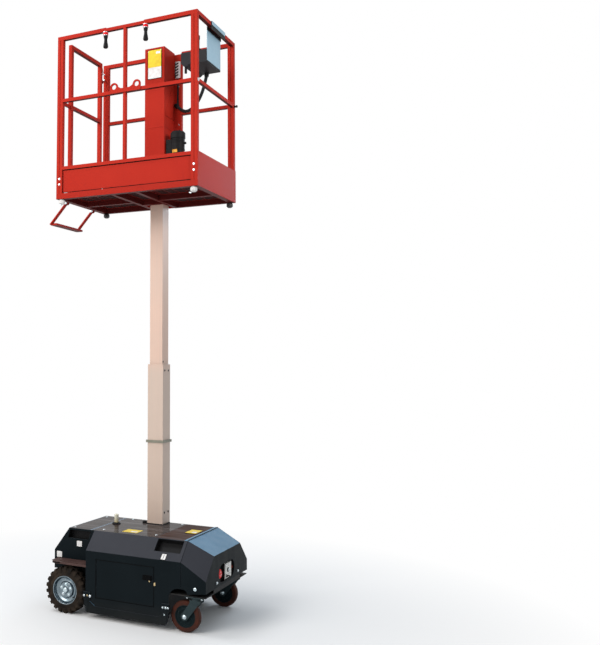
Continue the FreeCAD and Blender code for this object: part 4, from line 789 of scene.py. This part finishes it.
coat(mast_paint(), "mast_outer", "mast_middle", "mast_inner")
coat(collar_paint(), "mast_collar")
middle_high = box("mast_middle")[1]
outer_low, outer_high = box("mast_outer")[:2]
stop_y, pad_inset = 0.174, 0.03
stop_screw = [(0.0075, foot), (0.0075, 0.0008), (0.0055, 0.0015)]
pad_screw = [(0.008, foot), (0.008, 0.001), (0.0055, 0.0026)]
mesh = bmesh.new()
lathe(mesh, stop_screw, (middle_high.x, stop_y, outer_high.z + 0.019), (1, 0, 0), 20)
piece("mast_stop_bolt", mesh, [moulded_black], "mast_middle")
mesh = bmesh.new()
for z in (deck_z + 0.083, outer_high.z - 0.045):
    for y in (outer_low.y + pad_inset, outer_high.y - pad_inset):
        lathe(mesh, pad_screw, (mast_high_x, y, z), (1, 0, 0), 20)
piece("slide_pad_screws", mesh, [cover_paint], "chassis")


# Basket
# Square steel tube and sheet, welded in panels and sprayed signal red, then bolted together. The floor is a
# pressed anti-slip plate, whose ribs show from below between the beams. Rubber feet are bolted under it.
def red_paint(name, shade_under_floor=False):
    paint = Finish(name, (0.42, 0.013, 0.011), 0.36, gloss=0.02)
    patches = paint.noise(3, 4)
    peel = paint.noise(240, 2)
    scuffs = paint.noise(40, 5, (1, 1, 0.3))
    # Faces that look down are painted dark: painted shade.
    below = paint.steps(-1 * paint.facing("Z"), (0.6, 0), (0.9, 1))
    base = paint.mix(patches, (0.36, 0.017, 0.011), (0.43, 0.028, 0.015))
    scuffed = paint.steps(scuffs, (0.6, 0), (0.75, 1))
    dirty = paint.mix(scuffed * 0.2, base, (0.25, 0.018, 0.016))
    if shade_under_floor:
        # The floor's underside, between the basket's ends and sides, is painted dark too: painted shade.
        across, along = paint.along("X") - 0.044, paint.along("Y") + 0.035
        between_ends = paint.steps(across * across, (0.293, 1), (0.296, 0))
        between_sides = paint.steps(along * along, (0.119, 1), (0.1215, 0))
        under = paint.steps(paint.along("Z") - 2.4, (0.514, 1), (0.5152, 0)) * between_ends * between_sides
        below = below.sum("MAXIMUM", below, under)
    bottom_tone = paint.mix(below * 0.9, dirty, (0.05, 0.009, 0.009))
    roughness = 0.34 + patches * 0.14
    # The lighter edge colour is rubbed paint with a painted highlight.
    return paint.surface(bottom_tone, roughness, peel, 0.0002, 0.002, edge_share=0.3, edge_colour=(0.52, 0.06, 0.05))


def foot_rubber():
    rubber = Finish("foot_rubber", (0.6, 0.6, 0.58), 0.5)
    stain = rubber.noise(50, 4)
    # The feet on the far side are painted near black: painted shade.
    far = rubber.steps(rubber.along("Y"), (0.0, 0), (0.02, 1))
    base = rubber.mix(far, (0.72, 0.7, 0.68), (0.012, 0.012, 0.013))
    colour = rubber.mix(stain * 0.25, base, (0.12, 0.1, 0.09))
    return rubber.surface(colour, 0.4 + stain * 0.25, stain, 0.0005, 0.003)


coat(red_paint("red_paint"), "guard_right", "guard_left", "guard_ends", "toe_boards", "mast_housing",
     "harness_plate", "step_frame", "gate_frame")
coat(red_paint("floor_frame_paint", shade_under_floor=True), "basket_frame")
coat(foot_rubber(), "basket_feet")

guard_low, guard_high = box("guard_ends")[:2]
floor_low_z = guard_low.z
rib_length, rib_width, rib_depth, rib_pitch_x, rib_pitch_y = 0.052, 0.007, 0.004, 0.068, 0.0265
# x0, x1, y0, y1 of the open bays between the beams
bays = [
    (-0.462, -0.078, -0.345, -0.028), (-0.462, -0.078, 0.000, 0.287), (-0.05, 0.11, -0.345, 0.0905),
    (0.138, 0.55, -0.345, -0.028), (0.138, 0.55, 0.000, 0.287),
]
mesh = bmesh.new()
for x0, x1, y0, y1 in bays:
    columns, rows = int((x1 - x0 - 0.012) / rib_pitch_x), int((y1 - y0 - 0.012) / rib_pitch_y)
    for column in range(columns):
        for row in range(rows):
            x = (x0 + x1) / 2 + (column - (columns - 1) / 2) * rib_pitch_x
            y = (y0 + y1) / 2 + (row - (rows - 1) / 2) * rib_pitch_y
            rib = (x, y, floor_low_z)
            slab(mesh, rib, (-1, 0, 0), (0, 1, 0), rib_length, rib_width, rib_depth, 0)


def rib_paint():
    # The ribs are painted very dark: painted shade under the floor, with patches of dust.
    paint = Finish("rib_paint", (0.03, 0.006, 0.006), 0.6, gloss=0.2)
    dust = paint.noise(24, 4)
    colour = paint.mix(dust, (0.018, 0.004, 0.004), (0.05, 0.012, 0.011))
    return paint.surface(colour, 0.5 + dust * 0.3, dust, 0.0003, 0.001)


piece("floor_ribs", mesh, [rib_paint()], "basket")

post_inset, end_bolt_y, end_bolt_z = 0.0245, -0.37, 3.588
foot_bolt_y, feet_low_z = -0.362, box("basket_feet")[0].z
mesh = bmesh.new()
for x in (guard_low.x + post_inset, guard_high.x - post_inset):
    for z in (2.98, 3.02):
        bolt(mesh, (x, guard_low.y, z), (0, -1, 0), 0.0062)
        bolt(mesh, (x, guard_high.y, z), (0, 1, 0), 0.0062)
bolt(mesh, (guard_high.x, end_bolt_y, end_bolt_z), (1, 0, 0), 0.0085)
for x in (0.531, -0.479):
    bolt(mesh, (x, foot_bolt_y, feet_low_z), (0, 0, -1), 0.008)
piece("basket_bolts", mesh, [bright_zinc], "basket")
knob = [(0.011, foot), (0.011, 0.004), (0.0065, 0.006), (0.0065, 0.014), (0.0095, 0.015), (0.0095, 0.021),
        (0.007, 0.023)]
knob_y, knob_z = 0.302, 3.584
mesh = bmesh.new()
lathe(mesh, knob, (guard_high.x, knob_y, knob_z), (1, 0, 0), 22)
piece("rail_knob", mesh, [moulded_black], "basket")
# dark strips along the edges of the right toe board: painted shade in the gaps around the board
board_rear_x, board_front_x, board_low_z, board_high_z = -0.455, 0.543, 2.92, 3.084
board_y, strip = guard_low.y + 0.01, 0.005
mesh = bmesh.new()
for x0, x1, z0, z1 in ((board_rear_x, board_front_x, board_high_z - strip, board_high_z),
                       (board_rear_x, board_front_x, board_low_z, board_low_z + strip * 0.6),
                       (board_rear_x, board_rear_x + strip, board_low_z, board_high_z)):
    middle = ((x0 + x1) / 2, board_y, (z0 + z1) / 2)
    slab(mesh, middle, (1, 0, 0), (0, 0, 1), x1 - x0, z1 - z0, 0.0006, 0)
piece("toe_board_shade_strips", mesh, [dark_film], "basket")


# Hand grips
# Black moulded grips hang from the top rail on a pin with zinc washers and a red collar, and end in folds. A
# black pad on the end rail under the hook plate is painted shade where the rail lies in shadow; it is not
# made in this section.
coat(moulded_black, "rail_grips")
rail, grips_x = 0.028, (-0.113, 0.201)
rail_low_z, grip_y = guard_high.z - rail, guard_low.y + rail / 2
upper_washer = [(0.0195, foot), (0.0195, 0.003), (0.018, 0.004)]
collar = [(0.0182, 0.004), (0.0182, 0.021), (0.0165, 0.023)]
lower_washer = [(0.0188, 0.023), (0.0188, 0.0256), (0.0175, 0.0266)]
mesh = bmesh.new()
for x in grips_x:
    for profile, tint in ((upper_washer, 0), (collar, 1), (lower_washer, 0)):
        lathe(mesh, profile, (x, grip_y, rail_low_z), (0, 0, -1), 30, tint)
piece("grip_collars", mesh, [bright_zinc, signal_red], "basket")
mesh = bmesh.new()
for x in grips_x:
    for z, radius in ((3.9285, 0.0176), (3.9335, 0.0176), (3.945, 0.0158), (3.95, 0.0151)):
        fold = [(radius - 0.001, -0.0012), (radius + 0.0004, 0), (radius - 0.001, 0.0012)]
        lathe(mesh, fold, (x, grip_y, z), (0, 0, 1), 28)
piece("grip_rings", mesh, [moulded_black], "basket")


# Plates on the mast housing and beside it
# One plate, yellow above and white below on a dark border, is riveted high on the housing. The slotted pale
# plate on the strip beside it is screwed down and holds the wires. Both are bare.
label_x, label_y = box("mast_housing")[2].x, box("mast_housing")[0].y
label_low, label_split, label_high = 3.824, 3.912, 4.048
label_width, label_height, label_middle = 0.117, label_high - label_low, (label_low + label_high) / 2
margin, label_rise = 0.004, 0.0016
rivet = [(0.0026, 0), (0.0022, 0.0009), (0.001, 0.0013)]
across, up = (1, 0, 0), (0, 0, 1)
mesh = bmesh.new()
slab(mesh, (label_x, label_y, label_middle), across, up, label_width, label_height, 0.001, 0.004)
for low, high, gap, tint in ((label_split, label_high - margin, 0, 1),
                             (label_low + margin, label_split, 0.0005, 2)):
    width, height = label_width - 0.009, high - low - gap
    slab(mesh, (label_x, label_y, (low + high) / 2), across, up, width, height, label_rise, 0.002, tint)
slab(mesh, (label_x + 0.028, label_y, 4.022), across, up, 0.036, 0.018, 0.002, 0.004, 2)
for a in (-1, 1):
    for b in (-1, 1):
        x = label_x + a * (label_width / 2 - 0.007)
        z = label_middle + b * (label_height / 2 - 0.009)
        lathe(mesh, rivet, (x, label_y - label_rise, z), (0, -1, 0), 14, 3)
piece("housing_plate", mesh, [dark_film, yellow_film, white_film, bright_zinc], "basket")
strip_x, strip_y, strip_z = 0.142, box("guard_left")[0].y, 3.926
wire_gland = [(0.009, foot), (0.009, 0.005), (0.007, 0.0062)]
large_screw = [(0.0062, foot), (0.0062, 0.0028), (0.0045, 0.004)]
small_screw = [(0.005, foot), (0.005, 0.0024), (0.0038, 0.0034)]
mesh = bmesh.new()
slab(mesh, (strip_x, strip_y, strip_z), across, up, 0.046, 0.128, 0.002, 0.006, 0)
for k in range(5):
    z = 3.884 + 0.0225 * k
    slab(mesh, (strip_x - 0.004, strip_y, z), (1, 0, 0.55), (-0.55, 0, 1), 0.026, 0.01, 0.0032, 0.004, 1)
slab(mesh, (strip_x - 0.019, strip_y, strip_z), across, up, 0.006, 0.122, 0.003, 0.002, 1)
lathe(mesh, wire_gland, (strip_x - 0.002, strip_y, 3.87), (0, -1, 0), 22, 2)
lathe(mesh, large_screw, (strip_x + 0.008, strip_y, 3.794), (0, -1, 0), 20, 3)
lathe(mesh, small_screw, (strip_x + 0.012, strip_y, 3.5), (0, -1, 0), 20, 3)
piece("wire_plate", mesh, [white_film, dark_film, white_film, bright_zinc], "basket")


# Gate latch
# A zinc-plated bar on the gate's free post, drawn shut by a coil spring of zinc-plated wire. A black moulded
# lever lifts it.
coat(bright_zinc, "gate_latch")
spring = bpy.data.curves.new("latch_spring", "CURVE")
spring.dimensions = "3D"
spring.bevel_depth = 0.0011
spring.bevel_resolution = 3
coil_x, coil_y, coil_top = box("gate_latch")[2].x, box("gate_latch")[0].y + 0.0075, 4.03
turns, turn_points, coil_radius, coil_length = 8, 12, 0.0052, 0.046
wire = spring.splines.new("POLY")
wire.points.add(turns * turn_points)
for k, point in enumerate(wire.points):
    angle = 2 * math.pi * k / turn_points
    x, y = coil_x + coil_radius * math.cos(angle), coil_y + coil_radius * math.sin(angle)
    point.co = (x, y, coil_top - coil_length * k / (turns * turn_points), 1)
spring.materials.append(bright_zinc.material)
coil = bpy.data.objects.new("latch_spring", spring)
scene.collection.objects.link(coil)
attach(coil, "gate")
lever = [(0.0045, 0), (0.0045, 0.03), (0.0075, 0.034), (0.0085, 0.052), (0.006, 0.058)]
lever_y, lever_z = 0.214, 3.952
mesh = bmesh.new()
lathe(mesh, lever, (coil_x, lever_y, lever_z), (0, 0.62, -0.78), 18)
piece("latch_lever", mesh, [moulded_black], "gate")


# Platform controls
# A black plastic console under a hook plate of pale blue-grey sheet, hung over the end rail. On its top are
# a red stop button and two smaller ones, and the stick stands in a rubber boot with folds.
def console_plastic():
    plastic = Finish("console_plastic", (0.02, 0.022, 0.025), 0.5, gloss=0.1)
    grain = plastic.noise(650, 3)
    patches = plastic.noise(15, 3)
    base = plastic.mix(patches, (0.01, 0.013, 0.016), (0.024, 0.023, 0.026))
    roughness = 0.4 + grain * 0.25
    return plastic.surface(base, roughness, grain, 0.0003, 0.003, edge_share=0.5, edge_colour=(0.09, 0.1, 0.11))


def hook_plate_metal():
    metal = Finish("hook_plate_metal", (0.24, 0.36, 0.43), 0.4, 0.15)
    cloud = metal.noise(18, 4)
    lines = metal.noise(200, 3, (1, 0.05, 1))
    base = metal.mix(cloud, (0.23, 0.38, 0.48), (0.29, 0.44, 0.53))
    roughness = 0.34 + lines * 0.2
    return metal.surface(base, roughness, lines, 0.0002, 0.0025, edge_share=0.8, edge_colour=(0.55, 0.72, 0.82))


coat(console_plastic(), "control_box")
coat(hook_plate_metal(), "control_bracket")
coat(moulded_black, "console_fittings")
console_top, console_rear = box("control_box")[1].z, box("control_box")[0].x
stop_x, button_x, screw_z = console_rear + 0.056, console_rear + 0.048, console_top - 0.048
stop_base = [(0.02, foot), (0.02, 0.004), (0.0085, 0.005), (0.0085, 0.014)]
stop_head = [(0.018, 0.014), (0.0185, 0.018), (0.015, 0.024), (0.008, 0.0265)]
button_base = [(0.012, foot), (0.012, 0.003), (0.01, 0.004)]
button_head = [(0.0085, 0.003), (0.0085, 0.007), (0.007, 0.008)]
rear_screw = [(0.006, foot), (0.006, 0.0015), (0.004, 0.0028)]
stick_x, stick_y, up = 0.48688, -0.119, (0, 0, 1)
mesh = bmesh.new()
lathe(mesh, stop_base, (stop_x, 0.05, console_top), up, 28)
lathe(mesh, stop_head, (stop_x, 0.05, console_top), up, 28, 1)
for y, tint in ((-0.02, 2), (-0.062, 3)):
    lathe(mesh, button_base, (button_x, y, console_top), up, 24)
    lathe(mesh, button_head, (button_x, y, console_top), up, 24, tint)
for z, radius in ((0.002, 0.0235), (0.0075, 0.0218), (0.0125, 0.017), (0.017, 0.012)):
    fold = [(radius - 0.002, -0.0018), (radius, 0), (radius - 0.002, 0.0018)]
    lathe(mesh, fold, (stick_x, stick_y, console_top + z), up, 28)
for y in (-0.1, 0.07):
    lathe(mesh, rear_screw, (console_rear, y, screw_z), (-1, 0, 0), 18, 2)
finishes = [moulded_black, signal_red, bright_zinc, white_film]
piece("console_buttons", mesh, finishes, "basket")


# Power pack
# A hydraulic tank with its motor and pump on top, all in black, with tie rods through the motor, a filler
# cap and an orange-yellow blank plate on the barrel.
coat(moulded_black, "power_pack")
pack_x, pack_y, pack_top = 0.204, 0.158, box("power_pack")[1].z
rod_ring, barrel_radius, filler_x, filler_y = 0.036, 0.05, 0.246, 0.114
filler_cap = [(0.016, foot), (0.016, 0.01), (0.013, 0.013)]
band = [(barrel_radius, -0.0016), (barrel_radius + 0.0018, 0), (barrel_radius, 0.0016)]
amber_film = printed_film("amber_film", (0.75, 0.36, 0.02), (0.6, 0.26, 0.02))
mesh = bmesh.new()
for k in range(4):
    angle = math.radians(45 + 90 * k)
    x, y = pack_x + rod_ring * math.cos(angle), pack_y + rod_ring * math.sin(angle)
    bolt(mesh, (x, y, pack_top), (0, 0, 1), 0.005)
lathe(mesh, filler_cap, (filler_x, filler_y, pack_top - 0.23), (0, 0, 1), 24)
for drop in (0.065, 0.075, 0.085):
    lathe(mesh, band, (pack_x, pack_y, pack_top - drop), (0, 0, 1), 48)
for k in range(7):
    angle = math.radians(-118 + 7 * k)
    out = Vector((math.cos(angle), math.sin(angle), 0))
    along = (-math.sin(angle), math.cos(angle), 0)
    middle = Vector((pack_x, pack_y, pack_top - 0.15)) + out * (barrel_radius + 0.0002)
    slab(mesh, middle, along, (0, 0, 1), 0.0068, 0.026, 0.0008, 0, 1)
piece("power_pack_fittings", mesh, [moulded_black, amber_film], "basket")


# Step pivots
# Zinc-plated hexagon bolts that hold the step under the entry. They go through the tops of its two bars, with
# a head on each side of a bar.
step_low, step_high = box("step_frame")[:2]
bar, pivot_x, pivot_z = 0.036, step_high.x - 0.008, 2.877
mesh = bmesh.new()
for y, way in ((step_low.y, -1), (step_high.y - bar, -1), (step_low.y + bar, 1), (step_high.y, 1)):
    bolt(mesh, (pivot_x, y, pivot_z), (0, way, 0), 0.011)
piece("step_bolts", mesh, [bright_zinc], "basket")


# Studio
# A pale floor that fades into a white ground, an even sky that looks white to the camera, and five lamps: a
# large soft one at the front left, one high up, a cool one behind, a weak one before the nose, and a spot on
# the basket.
def seen_rays(nodes):
    "1 for rays that the camera sends out, also by a reflection or through glass."
    seen = 0
    for name in ("Is Camera Ray", "Is Glossy Ray", "Is Transmission Ray"):
        ray = nodes.node("ShaderNodeLightPath", {}, {}, name)
        seen = ray.sum("MAXIMUM", ray, seen)
    return seen


def studio_floor():
    mesh = bmesh.new()
    bmesh.ops.create_grid(mesh, x_segments=8, y_segments=8, size=60)
    data = bpy.data.meshes.new("studio_floor")
    mesh.to_mesh(data)
    mesh.free()
    floor = bpy.data.objects.new("studio_floor", data)
    scene.collection.objects.link(floor)
    pale = Finish("studio_floor", (0.86, 0.86, 0.86), 0.9)
    far = pale.node("ShaderNodeVectorMath", {"operation": "LENGTH"}, {0: pale.place}, "Value")
    fade = pale.steps(far / 10, (0.08, 0), (0.3, 1))
    lit = Field(pale, pale.shader.outputs[0])
    white = pale.node("ShaderNodeEmission", {}, {"Color": (1, 1, 1), "Strength": 1.0})
    both = pale.node("ShaderNodeMixShader", {}, {0: fade * seen_rays(pale), 1: lit, 2: white})
    pale.join(pale.tree.nodes["Material Output"].inputs["Surface"], both)
    data.materials.append(pale.material)


def studio_sky():
    world = bpy.data.worlds.new("studio_sky")
    scene.world = world
    world.use_nodes = True
    sky = Nodes(world.node_tree)
    even = sky.tree.nodes["Background"]
    sky.join(even.inputs["Color"], (0.92, 0.96, 1))
    sky.join(even.inputs["Strength"], 0.5)
    white = sky.node("ShaderNodeBackground", {}, {"Color": (1, 1, 1), "Strength": 1.0})
    sockets = {0: seen_rays(sky), 1: Field(sky, even.outputs[0]), 2: white}
    both = sky.node("ShaderNodeMixShader", {}, sockets)
    sky.join(sky.tree.nodes["World Output"].inputs["Surface"], both)


def shine(lamp, place, aim, power):
    "Stand a lamp at a place, turned towards a point and unseen by the camera."
    lamp.energy = power
    light = bpy.data.objects.new(lamp.name, lamp)
    light.location = place
    light.rotation_euler = (Vector(aim) - Vector(place)).to_track_quat("-Z", "Y").to_euler()
    light.visible_camera = False
    scene.collection.objects.link(light)


def soft_light(name, place, aim, size, power, colour):
    lamp = bpy.data.lights.new(name, "AREA")
    lamp.shape = "RECTANGLE"
    lamp.size, lamp.size_y = size
    lamp.color = colour
    shine(lamp, place, aim, power)


studio_floor()
studio_sky()
soft_light("front_light", (-2.6, -6.5, 5.0), (0, 0, 1.8), (4, 5), 400, (1, 0.97, 0.93))
soft_light("high_light", (-2.3, -0.8, 5.6), (0, 0, 1.0), (2, 2), 90, (0.95, 0.97, 1))
soft_light("back_light", (1.2, 6.5, 4.2), (0.4, 0, 0.6), (3, 2), 110, (0.72, 0.86, 1))
soft_light("side_light", (6.5, 1.0, 5.5), (0, 0, 1.2), (4, 4), 20, (0.7, 0.88, 1))
spot = bpy.data.lights.new("basket_light", "SPOT")
spot.spot_size = math.radians(24)
spot.spot_blend = 0.6
spot.shadow_soft_size = 0.9
shine(spot, (3.9, -1.7, 4.1), (0.3, -0.1, 3.45), 620)
